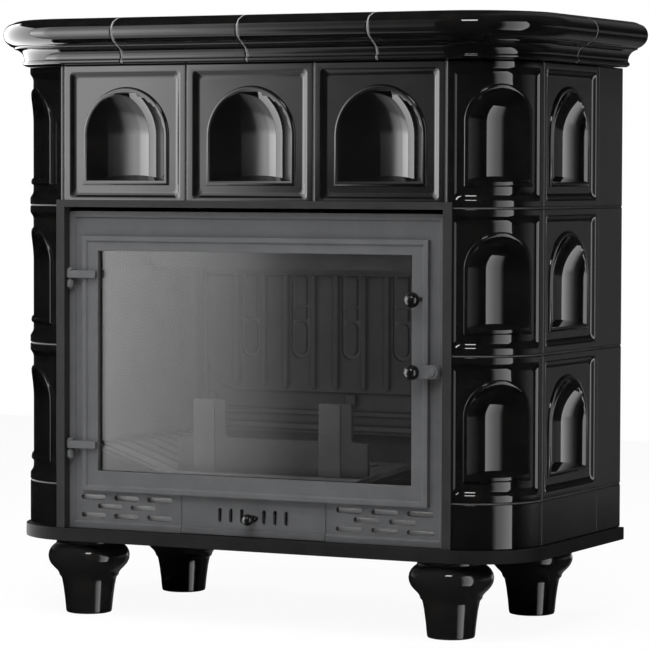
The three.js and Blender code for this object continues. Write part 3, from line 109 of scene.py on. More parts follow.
def idle():
    """Leaves edit mode and deselects everything."""
    active = bpy.context.view_layer.objects.active
    if active and active.mode != "OBJECT":
        bpy.ops.object.mode_set(mode="OBJECT")
    bpy.ops.object.select_all(action="DESELECT")


def pick(piece):
    idle()
    piece.select_set(True)
    bpy.context.view_layer.objects.active = piece
    return piece


def edit(piece):
    """Opens a piece in edit mode with nothing selected."""
    pick(piece)
    bpy.ops.object.mode_set(mode="EDIT")
    bpy.ops.mesh.select_mode(type="FACE")
    bpy.ops.mesh.select_all(action="DESELECT")


def select(piece, kind, test):
    """Selects the faces, edges or vertices that pass a test; the piece is in edit mode."""
    bpy.ops.mesh.select_mode(type={"polygons": "FACE", "edges": "EDGE", "vertices": "VERT"}[kind])
    bpy.ops.mesh.select_all(action="DESELECT")
    bpy.ops.object.mode_set(mode="OBJECT")
    for item in getattr(piece.data, kind):
        item.select = test(item)
    bpy.ops.object.mode_set(mode="EDIT")


def settle(piece):
    pick(piece)
    bpy.ops.object.transform_apply(location=True, rotation=True, scale=True)
    return piece


def block(name, low, high):
    """A rectangular blank between two corners."""
    idle()
    centre = [(a + b) / 2 for a, b in zip(low, high)]
    size = [b - a for a, b in zip(low, high)]
    bpy.ops.mesh.primitive_cube_add(size=1, location=centre, scale=size)
    piece = bpy.context.object
    piece.name = name
    return settle(piece)


def trace(name, points):
    """Draws a chain of edges through points, one extruded vertex at a time."""
    idle()
    bpy.ops.mesh.primitive_plane_add(size=MM)
    piece = bpy.context.object
    piece.name = name
    bpy.ops.object.mode_set(mode="EDIT")
    bpy.ops.mesh.select_mode(type="VERT")
    bpy.ops.mesh.select_all(action="SELECT")
    bpy.ops.mesh.merge(type="CENTER")
    bpy.ops.transform.translate(value=points[0])
    for start, end in zip(points, points[1:]):
        step = [b - a for a, b in zip(start, end)]
        bpy.ops.mesh.extrude_region_move(TRANSFORM_OT_translate={"value": step})
    bpy.ops.mesh.select_all(action="SELECT")
    return piece


def closed(piece):
    """Joins doubles, turns the faces outwards and leaves edit mode."""
    bpy.ops.mesh.select_all(action="SELECT")
    bpy.ops.mesh.remove_doubles(threshold=0.02 * MM)
    bpy.ops.mesh.normals_make_consistent(inside=False)
    bpy.ops.object.mode_set(mode="OBJECT")
    return piece


def prism(name, points, step):
    """A traced outline filled and drawn out along a step."""
    piece = trace(name, points)
    bpy.ops.mesh.edge_face_add()
    bpy.ops.mesh.select_mode(type="FACE")
    bpy.ops.mesh.extrude_region_move(TRANSFORM_OT_translate={"value": step})
    return closed(piece)


def lathe(name, profile, place=(0, 0, 0), steps=48, forward=False):
    """Spins (radius, height) points about the upright axis, or about the front-to-back one."""
    if forward:
        points = [(radius, -height, 0) for radius, height in profile]
        axis = (0, 1, 0)
    else:
        points = [(radius, 0, height) for radius, height in profile]
        axis = (0, 0, 1)
    piece = trace(name, points)
    bpy.ops.mesh.spin(steps=steps, angle=TAU, center=(0, 0, 0), axis=axis)
    closed(piece)
    piece.location = place
    return settle(piece)


def apply_modifier(piece, kind, **settings):
    pick(piece)
    bpy.ops.object.modifier_add(type=kind)
    modifier = piece.modifiers[-1]
    for key, value in settings.items():
        setattr(modifier, key, value)
    bpy.ops.object.modifier_apply(modifier=modifier.name)
    return piece


def combine(piece, operation, *others):
    for other in others:
        apply_modifier(piece, "BOOLEAN", operation=operation, object=other, solver="EXACT")
        bpy.data.objects.remove(other)
    return piece


def carve(piece, *tools):
    return combine(piece, "DIFFERENCE", *tools)


def fuse(piece, *others):
    return combine(piece, "UNION", *others)


def gather(name, pieces):
    """Joins loose pieces into one object."""
    idle()
    for piece in pieces:
        piece.select_set(True)
    bpy.context.view_layer.objects.active = pieces[0]
    bpy.ops.object.join()
    pieces[0].name = name
    return pieces[0]


def ease(piece, width, segments=2, angle=35):
    """Rounds the edges that are sharper than an angle."""
    limit = math.radians(angle)
    return apply_modifier(
        piece, "BEVEL", width=width, segments=segments, limit_method="ANGLE", angle_limit=limit
    )


def smooth(piece, angle=35):
    """Smooth shading up to an angle, with the broad faces kept flat."""
    pick(piece)
    bpy.ops.object.shade_smooth_by_angle(angle=math.radians(angle))
    return apply_modifier(piece, "WEIGHTED_NORMAL", weight=80, keep_sharp=True)


def copy_of(master, name, place=(0, 0, 0), turn=0.0):
    """A copy with its own mesh, turned about the upright axis and set in its place."""
    pick(master)
    bpy.ops.object.duplicate(linked=False)
    piece = bpy.context.object
    piece.name = name
    piece.rotation_euler = (0, 0, turn)
    piece.location = place
    return settle(piece)


def discard(*pieces):
    for piece in pieces:
        bpy.data.objects.remove(piece)


def dress(piece, body, slot, material, *nodes):
    """Gives a finished piece its finish and body, and hides the nodes it stands for."""
    piece.data.materials.clear()
    piece.data.materials.append(material)
    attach(piece, body)
    if nodes:
        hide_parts(*nodes)
    return piece


def repaint(node, material):
    NODES[node].data.materials.clear()
    NODES[node].data.materials.append(material)


def arc(centre, radius, start, end, steps):
    """Points of an arc, in degrees, as pairs."""
    angles = [math.radians(start + (end - start) * i / steps) for i in range(steps + 1)]
    return [(centre[0] + radius * math.cos(a), centre[1] + radius * math.sin(a)) for a in angles]


def upright(pairs, y):
    """Front outline (x, z) pairs, in millimetres, as points at a depth in metres."""
    return [(x * MM, y, z * MM) for x, z in pairs]


def turned(name, profile, place, steps, forward=False):
    """A lathe piece whose profile and place are in millimetres."""
    return lathe(name, [mm(*pair) for pair in profile], mm(*place), steps, forward)


def slab(name, pairs, front, depth):
    """A front outline drawn back from its front, all in millimetres."""
    return prism(name, upright(pairs, front * MM), mm(0, depth, 0))


def side_block(name, side, reach, low, high):
    """A block beside the middle: two distances from it and two (y, z) corners, in millimetres."""
    near, far = sorted(side * distance for distance in reach)
    return block(name, mm(near, *low), mm(far, *high))


def rounded(x0, x1, z0, z1, radius, steps=5):
    """Outline of a rectangle with round corners."""
    return (
        arc((x1 - radius, z0 + radius), radius, -90, 0, steps)
        + arc((x1 - radius, z1 - radius), radius, 0, 90, steps)
        + arc((x0 + radius, z1 - radius), radius, 90, 180, steps)
        + arc((x0 + radius, z0 + radius), radius, 180, 270, steps)
    )


# ------------------------------------------------------------------ finishes


class Signal:
    """A shader socket that Python's operators can calculate with."""

    def __init__(self, finish, socket):
        self.finish = finish
        self.socket = socket

    def _math(self, operation, a, b):
        return self.finish.node("ShaderNodeMath", {"operation": operation}, {0: a, 1: b})

    def __add__(self, other):
        return self._math("ADD", self, other)

    __radd__ = __add__

    def __sub__(self, other):
        return self._math("SUBTRACT", self, other)

    def __rsub__(self, other):
        return self._math("SUBTRACT", other, self)

    def __mul__(self, other):
        return self._math("MULTIPLY", self, other)

    __rmul__ = __mul__


class Finish:
    """The node tree of a material or of the world."""

    def __init__(self, owner):
        owner.use_nodes = True
        self.tree = owner.node_tree
        self.tree.nodes.clear()
        self.owner = owner

    def node(self, kind, settings, inputs, output=0):
        """Adds a node: its settings first, a ramp's stops among them, then its sockets."""
        item = self.tree.nodes.new(kind)
        for key, value in settings.items():
            if key == "stops":
                ramp = item.color_ramp
                while len(ramp.elements) < len(value):
                    ramp.elements.new(0.5)
                for element, (position, colour) in zip(ramp.elements, value):
                    element.position = position
                    element.color = colour if len(colour) == 4 else (*colour, 1)
            else:
                setattr(item, key, value)
        for key, value in inputs.items():
            if isinstance(value, Signal):
                self.tree.links.new(value.socket, item.inputs[key])
            else:
                item.inputs[key].default_value = value
        return Signal(self, item.outputs[output]) if item.outputs else None

    def place(self):
        return self.node("ShaderNodeTexCoord", {}, {}, "Object")

    def noise(self, scale, detail=2.0, roughness=0.5, vector=None):
        inputs = {"Scale": scale, "Detail": detail, "Roughness": roughness}
        inputs["Vector"] = vector or self.place()
        return self.node("ShaderNodeTexNoise", {}, inputs)

    def grey(self, value, low, high, out_low, out_high):
        """Maps a range of values to another, without passing its ends."""
        inputs = {0: value, 1: low, 2: high, 3: out_low, 4: out_high}
        return self.node("ShaderNodeMapRange", {"clamp": True}, inputs)

    def blend(self, factor, first, second):
        inputs = {0: factor, 6: (*first, 1), 7: (*second, 1)}
        if isinstance(first, Signal):
            inputs[6] = first
        return self.node("ShaderNodeMix", {"data_type": "RGBA"}, inputs, 2)

    def bump(self, height, strength, distance):
        inputs = {"Strength": strength, "Distance": distance, "Height": height}
        return self.node("ShaderNodeBump", {}, inputs)

    def surface(self, **sockets):
        named = {key.replace("_", " "): value for key, value in sockets.items()}
        shader = self.node("ShaderNodeBsdfPrincipled", {}, named)
        self.node("ShaderNodeOutputMaterial", {}, {"Surface": shader})
        return self.owner


def new_finish(name):
    return Finish(bpy.data.materials.new(name))


def black_glaze(name, depth=0.004, rough=0.045):
    """Deep black glaze: a mirror gloss that swells a little, and thins to brown in places."""
    finish = new_finish(name)
    swell = finish.noise(9.0, 1.0)
    peel = finish.noise(260.0, 1.0)
    thin = finish.grey(finish.noise(35.0, 3.0), 0.35, 0.7, 0, 1)
    deep = (depth * 0.8, depth * 0.8, depth * 0.9)
    brown = (depth * 1.4, depth * 1.3, depth * 1.2)
    rough = finish.grey(finish.noise(60.0, 4.0), 0.3, 0.7, rough * 0.8, rough * 1.3)
    height = swell + peel * 0.012
    return finish.surface(
        Base_Color=finish.blend(thin, deep, brown),
        Roughness=rough,
        IOR=1.52,
        Normal=finish.bump(height, 0.35, 1.2 * MM),
    )


def cast_paint(name, low, high, roughness, gloss=0.12):
    """Matte stove paint over a fine-grained casting."""
    finish = new_finish(name)
    grain = finish.noise(1500.0, 3.0, 0.6)
    cloud = finish.noise(22.0, 4.0, 0.6)
    tone = finish.blend(finish.grey(cloud, 0.3, 0.7, 0, 1), low, high)
    rough = finish.grey(cloud + grain * 0.3, 0.4, 0.9, roughness - 0.06, roughness + 0.06)
    return finish.surface(
        Base_Color=tone,
        Roughness=rough,
        Specular_IOR_Level=gloss,
        Normal=finish.bump(grain, 0.25, 0.25 * MM),
    )


def iron_with_painted_shade(name, low, high):
    """Casting inside the fire box: grainy, with painted shade in its hollows and painted highlights along its edges.
    """
    finish = new_finish(name)
    grain = finish.noise(900.0, 3.0, 0.65)
    cloud = finish.noise(14.0, 5.0, 0.6)
    tone = finish.blend(finish.grey(cloud, 0.32, 0.68, 0, 1), low, high)
    kind = "ShaderNodeAmbientOcclusion"
    # Ambient occlusion darkens the hollows as painted shade and lightens the sharp edges as painted highlights.
    painted_shade_mask = finish.node(kind, {"samples": 16}, {"Distance": 22 * MM}, 1)
    painted_highlight_mask = finish.node(kind, {"samples": 8, "inside": True}, {"Distance": 3 * MM}, 1)
    level = finish.grey(painted_shade_mask, 0.5, 0.95, 0.06, 1.0) + finish.grey(1 - painted_highlight_mask, 0.3, 0.75, 0.0, 1.1)
    # The casting's tone is multiplied by this painted shade and highlight.
    shade_blend = {"data_type": "RGBA", "blend_type": "MULTIPLY"}
    tone = finish.node("ShaderNodeMix", shade_blend, {0: 1.0, 6: tone, 7: level}, 2)
    return finish.surface(
        Base_Color=tone,
        Roughness=finish.grey(cloud, 0.3, 0.7, 0.62, 0.8),
        Specular_IOR_Level=0.2,
        Normal=finish.bump(grain, 0.35, 0.4 * MM),
    )


def grout(name, low, high):
    """Sandy, matte joint filler."""
    finish = new_finish(name)
    sand = finish.noise(1200.0, 3.0, 0.7)
    tone = finish.blend(finish.grey(sand, 0.3, 0.7, 0, 1), low, high)
    return finish.surface(
        Base_Color=tone,
        Roughness=0.7,
        Normal=finish.bump(sand, 0.4, 0.3 * MM),
    )


def black_ball(name):
    """Polished black of the knobs."""
    finish = new_finish(name)
    rough = finish.grey(finish.noise(80.0, 3.0), 0.3, 0.7, 0.1, 0.16)
    return finish.surface(Base_Color=(0.006, 0.006, 0.0065, 1), Roughness=rough)


def pane_glass(name):
    """Ceramic glass with a faint grey tint."""
    finish = new_finish(name)
    haze = finish.noise(7.0, 2.0)
    return finish.surface(
        Base_Color=(0.015, 0.015, 0.015, 1),
        Roughness=finish.grey(haze, 0.3, 0.7, 0.012, 0.02),
        IOR=2.3,
        Alpha=0.3,
    )


FINISHES = {}


def finish(name):
    return FINISHES[name]


# ------------------------------------------------------------------ settings


class TileSettings(bpy.types.PropertyGroup):
    """Relief of the glazed tiles."""

    rim: bpy.props.FloatProperty(
        name="Rim", description="Flat rim round a tile", default=7.5 * MM, unit="LENGTH"
    )
    field: bpy.props.FloatProperty(
        name="Field depth", description="Sunk field behind the rim", default=5 * MM, unit="LENGTH"
    )
    glaze_edge: bpy.props.FloatProperty(
        name="Glazed edge", description="Rounding of a tile's edges", default=1.8 * MM, unit="LENGTH"
    )
    grout_recess: bpy.props.FloatProperty(
        name="Grout recess", description="Grout behind the tiles' faces", default=1.4 * MM, unit="LENGTH"
    )


class StudioSettings(bpy.types.PropertyGroup):
    """Floor and lamps."""

    floor_size: bpy.props.FloatProperty(
        name="Floor", description="Width of the floor", default=7.0, unit="LENGTH"
    )
    scrim: bpy.props.FloatProperty(
        name="Scrim", description="Brightness of the scrim, where 1 is white", default=9.0
    )
    inner: bpy.props.FloatProperty(
        name="Hearth light", description="Brightness of the lamp into the fire box", default=24.0
    )
    strip: bpy.props.FloatProperty(
        name="Strip", description="Brightness of the strip lamp on the right", default=3.9
    )
    key: bpy.props.FloatProperty(
        name="Key lamp", description="Brightness of the key lamp", default=14.0
    )
    fill: bpy.props.FloatProperty(
        name="Fill", description="Brightness of the broad fills", default=3.4
    )


# ------------------------------------------------------------------ tiles

# Cross-section of the cove inside a rim and of the bead round an arch: width and rise of each step.
COVE_STEPS = ((1.5, -0.2), (2.2, -1.2), (2.6, -1.8), (2.8, -1.2), (2.9, -0.6))
BEAD_STEPS = (
    (0.25, 1.5), (0.35, 1.4), (0.8, 1.2), (1.2, 0.6), (1.2, 0.3), (1.2, 0.0), (0.9, -0.2), (0.7, -0.3),
)
LEDGE_RISE = 9 / 28
STRIP_WIDTH = 100 * MM


def inset_steps(steps, scale=1.0):
    for width, rise in steps:
        bpy.ops.mesh.inset(thickness=width * MM, depth=rise * MM * scale, use_even_offset=True)


def border(piece, steps):
    """Steps a piece's front face in or out; each step has a width and a rise in millimetres."""
    edit(piece)
    select(piece, "polygons", lambda face: face.normal.y < -0.99)
    inset_steps(steps)
    bpy.ops.object.mode_set(mode="OBJECT")


def tile_blank(name, width, height, depth, edge):
    piece = block(name, (-width / 2, 0, 0), (width / 2, depth, height))
    return apply_modifier(piece, "BEVEL", width=edge, segments=3, limit_method="NONE")


def sunk_field(piece, settings):
    """Sinks a round-cornered field into the front of a blank."""
    edit(piece)
    select(piece, "polygons", lambda face: face.normal.y < -0.999)
    bpy.ops.mesh.inset(thickness=settings.rim)
    rim = max(abs(vertex.co.x) for vertex in piece.data.vertices) - settings.rim - 1.9 * MM
    inset_steps(COVE_STEPS, settings.field / (5 * MM))

    def mitre(edge):
        a, b = (piece.data.vertices[i].co for i in edge.vertices)
        inside = max(abs(a.x), abs(b.x)) < rim + 0.2 * MM and max(a.y, b.y) < 6 * MM
        return inside and abs(a.x - b.x) > 0.5 * MM and abs(abs(a.x - b.x) - abs(a.z - b.z)) < 0.01 * MM

    select(piece, "edges", mitre)
    bpy.ops.mesh.bevel(offset=5 * MM, segments=4, affect="EDGES")
    bpy.ops.object.mode_set(mode="OBJECT")


def arch_outline(half, bottom, centre, spread=1.0):
    """Arch (x, z) in millimetres; spread widens it for a surface that is bent afterwards."""
    pairs = [(-half * spread, bottom), (half * spread, bottom)]
    return pairs + [(x * spread, z) for x, z in arc((0, centre), half, 0, 180, 40)]


def arch_boss(half, bottom, centre, spread=1.0):
    """The arched boss with its bead, laid on the field."""
    pairs = arch_outline(half, bottom, centre, spread)
    boss = slab("boss", pairs, 6.5, 12)
    border(boss, BEAD_STEPS)
    return boss


def niche_tool(radius, dome, axis_y, centre, mouth_y, lip):
    """The round shaft of a niche with its domed top, cut off at the sloping ledge."""
    turns = [math.radians(5 * i) for i in range(18)]
    rise = [(radius * math.cos(a), centre + dome * math.sin(a)) for a in turns]
    profile = [(0, 0), (radius, 0), *rise, (0, centre + dome)]
    tool = turned("niche", profile, (0, axis_y, 0), 112)
    edit(tool)
    bpy.ops.mesh.select_all(action="SELECT")
    bpy.ops.mesh.bisect(
        plane_co=mm(0, mouth_y, lip), plane_no=(0, -LEDGE_RISE, 1), use_fill=True, clear_inner=True
    )
    return closed(tool)


def relief_tile(settings):
    size = TILE_SIZE
    tile = tile_blank("relief_tile", size, size, TILE_DEPTH, settings.glaze_edge)
    sunk_field(tile, settings)
    fuse(tile, arch_boss(78, 31, 108))
    mouth, sink = 71.5, 28
    radius = (mouth**2 + sink**2) / (2 * sink)
    carve(tile, niche_tool(radius, radius, 29.5 - radius, 108, 1.5, 38.2))
    return smooth(tile, 50)


def bent(piece, width):
    """Bends a flat tile round the corner's axis, which is then the origin."""
    edit(piece)
    cuts = 44
    for i in range(1, cuts):
        x = -width / 2 + width * i / cuts
        bpy.ops.mesh.select_all(action="SELECT")
        bpy.ops.mesh.bisect(plane_co=(x, 0, 0), plane_no=(1, 0, 0))
    bpy.ops.object.mode_set(mode="OBJECT")
    apply_modifier(
        piece, "SIMPLE_DEFORM", deform_method="BEND", deform_axis="Z", angle=width / CORNER_RADIUS
    )
    piece.location = (0, -CORNER_RADIUS, 0)
    return settle(piece)


CORNER_WIDTH = (math.pi / 2 - 2 * MM / CORNER_RADIUS) * CORNER_RADIUS
CORNER_DEPTH = TILE_DEPTH - 0.5 * MM


def corner_tile(settings):
    tile = tile_blank("corner_tile", CORNER_WIDTH, TILE_SIZE, CORNER_DEPTH, settings.glaze_edge)
    sunk_field(tile, settings)
    fuse(tile, arch_boss(57, 31, 129, 60.7 / 57))
    bent(tile, CORNER_WIDTH)
    mouth, reach = 50.5, 110.5
    chord = -math.sqrt(reach**2 - mouth**2)
    radius = (mouth**2 + 15**2) / 30
    axis_y = chord + 15 - radius
    dome = radius * mouth / math.sqrt(radius**2 - (axis_y + reach) ** 2)
    carve(tile, niche_tool(radius, dome, axis_y, 129, -reach, 38.2))
    return smooth(tile, 50)


def set_tile(master, node, turn):
    """Copies a tile to where its node stands: no turn on the front, a quarter circle on a side."""
    low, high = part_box(node)
    if turn == 0:
        place = ((low.x + high.x) / 2, low.y, low.z)
    elif abs(turn) > 1:
        place = (high.x if turn > 0 else low.x, (low.y + high.y) / 2, low.z)
    else:
        place = (math.copysign(FRONT_HALF, turn), CORNER_Y, low.z)
    piece = copy_of(master, "glazed_" + node, place, turn)
    smooth(piece, 50)
    return dress(piece, "stove", "glaze_tiles", finish("glaze"), node)


def plan_band(side, inset, width):
    """Plan (x, y) of a band that follows the body's side and corner, from the back and back again."""
    outer = CORNER_RADIUS - inset
    inner = outer - width
    out = arc((FRONT_HALF, CORNER_Y), outer, 0, -90, 24)
    back = arc((FRONT_HALF, CORNER_Y), inner, -90, 0, 24)
    points = [(FRONT_HALF + outer, BACK), *out, *back, (FRONT_HALF + inner, BACK)]
    return [(side * x, y) for x, y in points]


class STOVE_OT_tiles(bpy.types.Operator):
    """Lay the glazed relief tiles, the plinth course and the grout"""

    bl_idname = "stove.tiles"
    bl_label = "Glazed tiles"

    def execute(self, context):
        settings = context.scene.stove_tiles
        edge = settings.glaze_edge
        low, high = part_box("plinth_side_left")
        course = high.z - low.z
        relief = relief_tile(settings)
        corner = corner_tile(settings)
        strip = tile_blank("strip", STRIP_WIDTH, TILE_SIZE, TILE_DEPTH, edge)
        plinth = tile_blank("plinth", TILE_SIZE, course, TILE_DEPTH, edge)
        plinth_strip = tile_blank("plinth_strip", STRIP_WIDTH, course, TILE_DEPTH, edge)
        plinth_corner = tile_blank("plinth_corner", CORNER_WIDTH, course, CORNER_DEPTH, edge)
        bent(plinth_corner, CORNER_WIDTH)
        for column in COLUMNS:
            set_tile(relief, f"front_tile_{column}", 0)
        for side_name, side in SIDES:
            flank, diagonal = side * math.pi / 2, side * math.pi / 4
            for row in ROWS:
                set_tile(corner, f"corner_tile_{side_name}_{row}", diagonal)
                set_tile(relief, f"side_tile_{side_name}_{row}", flank)
                set_tile(strip, f"side_strip_{side_name}_{row}", flank)
            set_tile(plinth_corner, f"plinth_corner_{side_name}", diagonal)
            set_tile(plinth, f"plinth_side_{side_name}", flank)
            set_tile(plinth_strip, f"plinth_strip_{side_name}", flank)
        discard(relief, corner, strip, plinth, plinth_strip, plinth_corner)
        self.grout(settings.grout_recess)
        return {"FINISHED"}

    def grout(self, recess):
        """Bands under the rows, and upright joints on the sides and the front."""
        joint = 2.2 * MM
        half = joint / 2
        width = TILE_DEPTH - 4 * MM
        front = TILE_FACE + recess
        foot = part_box("plinth_side_left")[0].z + 0.5 * MM
        low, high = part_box("front_tile_left")
        for side_name, side in SIDES:
            bands = []
            for row in ROWS:
                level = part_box(f"corner_tile_{side_name}_{row}")[0].z - joint + 0.1 * MM
                outline = [(x, y, level) for x, y in plan_band(side, recess, width)]
                bands.append(prism("band", outline, (0, 0, joint)))
            near, far = sorted(side * (BODY_HALF - recess - inset) for inset in (0, width))
            for node in ("plinth_side", "plinth_strip"):
                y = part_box(f"{node}_{side_name}")[0].y - MM
                bands.append(block("joint", (near, y - half, foot), (far, y + half, CORNICE_BED - MM)))
            for x in (side * FRONT_HALF, side * FRONT_HALF / 3):
                bands.append(block("joint", (x - half, front, low.z), (x + half, front + width, high.z)))
            dress(gather(f"grout_{side_name}", bands), "stove", "glaze_tiles", finish("grout"))


# ------------------------------------------------------------------ cornice


def curve(start, pull, end, steps):
    """Points of a curve that a middle point pulls; the start is left out."""
    points = []
    for i in range(1, steps + 1):
        t = i / steps
        shares = ((1 - t) ** 2, 2 * t * (1 - t), t * t)
        points.append(tuple(sum(s * c for s, c in zip(shares, axis)) for axis in zip(start, pull, end)))
    return points


def moulding():
    """Section of the cornice in millimetres: out from the tile face, up from the bed."""
    bead = arc((8.4, 5), 3.4, -72, 72, 8)
    cove = curve((9, 10.4), (10.2, 24.2), (25, 28), 10)
    fillet = [(25.4, 29.4), (26.4, 30.6), (28.4, 31.4), (31.5, 32.6)]
    nose = [(25.7 + 17 * x, 50.5 + 18 * z) for x, z in arc((0, 0), 1, -58, 80, 24)]
    crown = curve((29, 68.2), (20.3, 73), (9, 73), 8)
    return [(-44.4, 0.3), (6, 0.3), *bead, (8.9, 10), *cove, *fillet, *nose, *crown, (-44.4, 73)]


def eased_move(move):
    """Splits a straight move so that a loop runs close to each of its ends."""
    length = 0 if move == "turn" else max(abs(value) for value in move)
    if length < 10 * MM:
        return [move]
    end = tuple(value * 3 * MM / length for value in move)
    return [end, tuple(value - 2 * step for value, step in zip(move, end)), end]


def section_start(place, margin):
    """The filled section where a run starts, drawn in by a margin and left selected."""
    piece = trace("run", [place(out * MM, CORNICE_BED + (up - 0.3) * MM) for out, up in moulding()])
    bpy.ops.mesh.edge_face_add()
    bpy.ops.mesh.select_mode(type="FACE")
    if margin:
        bpy.ops.mesh.inset(thickness=margin)
        bpy.ops.mesh.select_all(action="INVERT")
        bpy.ops.mesh.delete(type="FACE")
        bpy.ops.mesh.select_all(action="SELECT")
    return piece


def cornice_run(side, start, moves, margin=0.0):
    """Sweeps the section from a place in x: straight moves in metres, and a turn round the corner."""
    piece = section_start(lambda out, z: (start, TILE_FACE - out, z), margin)
    for move in [part for whole in moves for part in eased_move(whole)]:
        if move == "turn":
            bpy.ops.mesh.spin(
                steps=28,
                angle=-side * math.pi / 2,
                center=(side * FRONT_HALF, CORNER_Y, 0),
                axis=(0, 0, 1),
            )
        else:
            bpy.ops.mesh.extrude_region_move(TRANSFORM_OT_translate={"value": move})
    return closed(piece)


def cornice_flank(side, start, end, margin=0.0):
    """Sweeps the section along a side, between two places in y."""
    piece = section_start(lambda out, z: (side * (BODY_HALF + out), start, z), margin)
    for move in eased_move((0, end - start, 0)):
        bpy.ops.mesh.extrude_region_move(TRANSFORM_OT_translate={"value": move})
    return closed(piece)


class STOVE_OT_cornice(bpy.types.Operator):
    """Sweep the moulded cornice in its six pieces"""

    bl_idname = "stove.cornice"
    bl_label = "Cornice"

    def execute(self, context):
        joint, margin = 2 * MM, 0.3 * MM
        pitch = 2 * FRONT_HALF / 3
        side_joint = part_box("cornice_side_right")[0].y - MM
        for side_name, side in SIDES:
            near, far, start = side * MM, side * (pitch - MM), side * (pitch + MM)
            turn = [(side * FRONT_HALF - start, 0, 0), "turn", (0, side_joint - MM - CORNER_Y, 0)]
            runs = {
                "front": cornice_run(side, near, [(far - near, 0, 0)]),
                "corner": cornice_run(side, start, turn),
                "side": cornice_flank(side, side_joint + MM, BACK),
            }
            for kind, piece in runs.items():
                self.soften(piece)
                piece.name = f"glazed_cornice_{kind}_{side_name}"
                smooth(piece, 32)
                dress(piece, "stove", "glaze_cornice", finish("glaze"), f"cornice_{kind}_{side_name}")
            fills = [cornice_run(side, far, [(side * joint, 0, 0)], margin)]
            if side > 0:
                fills.append(cornice_run(side, -MM, [(joint, 0, 0)], margin))
            fills.append(cornice_flank(side, side_joint - MM, side_joint + MM, margin))
            piece = gather(f"cornice_grout_{side_name}", fills)
            dress(piece, "stove", "glaze_cornice", finish("pale_grout"))
        return {"FINISHED"}

    def soften(self, piece):
        """Rounds the rim of each end face."""
        edit(piece)
        select(piece, "polygons", lambda face: len(face.vertices) > 30)
        bpy.ops.mesh.select_mode(type="EDGE")
        bpy.ops.mesh.region_to_loop()
        bpy.ops.mesh.bevel(offset=1.9 * MM, segments=3, affect="EDGES")
        bpy.ops.object.mode_set(mode="OBJECT")


# ------------------------------------------------------------------ feet and base plate

FOOT_PROFILE = (
    (0, 0), (32.5, 0), (35.6, 0.9), (36.8, 3.6), (38.6, 22), (41.2, 42), (43.6, 54.5), (44.6, 57.5),
    (46.6, 59.2), (47.8, 61.4), (48.4, 64.4), (51.4, 68.6), (56.6, 73.6), (61.4, 79.2), (64.4, 85.6),
    (65.3, 92.2), (64.2, 98.6), (61.2, 104.2), (57.2, 108.4), (54.2, 110.6), (52.6, 112.2), (52, 115),
    (52, 119.7), (0, 119.7),
)


def plan_outline(grow):
    """Plan of the whole body, grown by a margin, as (x, y) pairs."""
    radius = CORNER_RADIUS + grow
    right = arc((FRONT_HALF, CORNER_Y), radius, -90, 0, 24)
    left = [(-x, y) for x, y in reversed(right)]
    return [(-FRONT_HALF - radius, BACK), *left, *right, (FRONT_HALF + radius, BACK)]


class STOVE_OT_base(bpy.types.Operator):
    """Turn the four feet and cut the base plate"""

    bl_idname = "stove.base"
    bl_label = "Feet and base plate"

    def execute(self, context):
        master = lathe("foot", [mm(*pair) for pair in FOOT_PROFILE], steps=72)
        for row in ("front", "rear"):
            for side_name, _ in SIDES:
                node = f"foot_{row}_{side_name}"
                low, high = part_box(node)
                place = ((low.x + high.x) / 2, (low.y + high.y) / 2, 0)
                foot = copy_of(master, f"glazed_{node}", place)
                smooth(foot, 40)
                dress(foot, "stove", "glaze_feet", finish("foot_glaze"), node)
        discard(master)
        outline = [(x, y, PLATE_LOW) for x, y in plan_outline(6.9 * MM)]
        plate = prism("steel_base_plate", outline, (0, 0, PLATE_TOP - PLATE_LOW))
        ease(plate, 1.2 * MM, 3)
        smooth(plate)
        dress(plate, "stove", "dark_steel", finish("dark_steel"), "base_plate")
        return {"FINISHED"}


# ------------------------------------------------------------------ surround and front frame


def hoop_outline(half, top, inner_half, inner_top, bottom):
    """Front outline of a hoop that is open at its foot."""
    return [
        (-half, bottom), (-half, top), (half, top), (half, bottom),
        (inner_half, bottom), (inner_half, inner_top), (-inner_half, inner_top), (-inner_half, bottom),
    ]


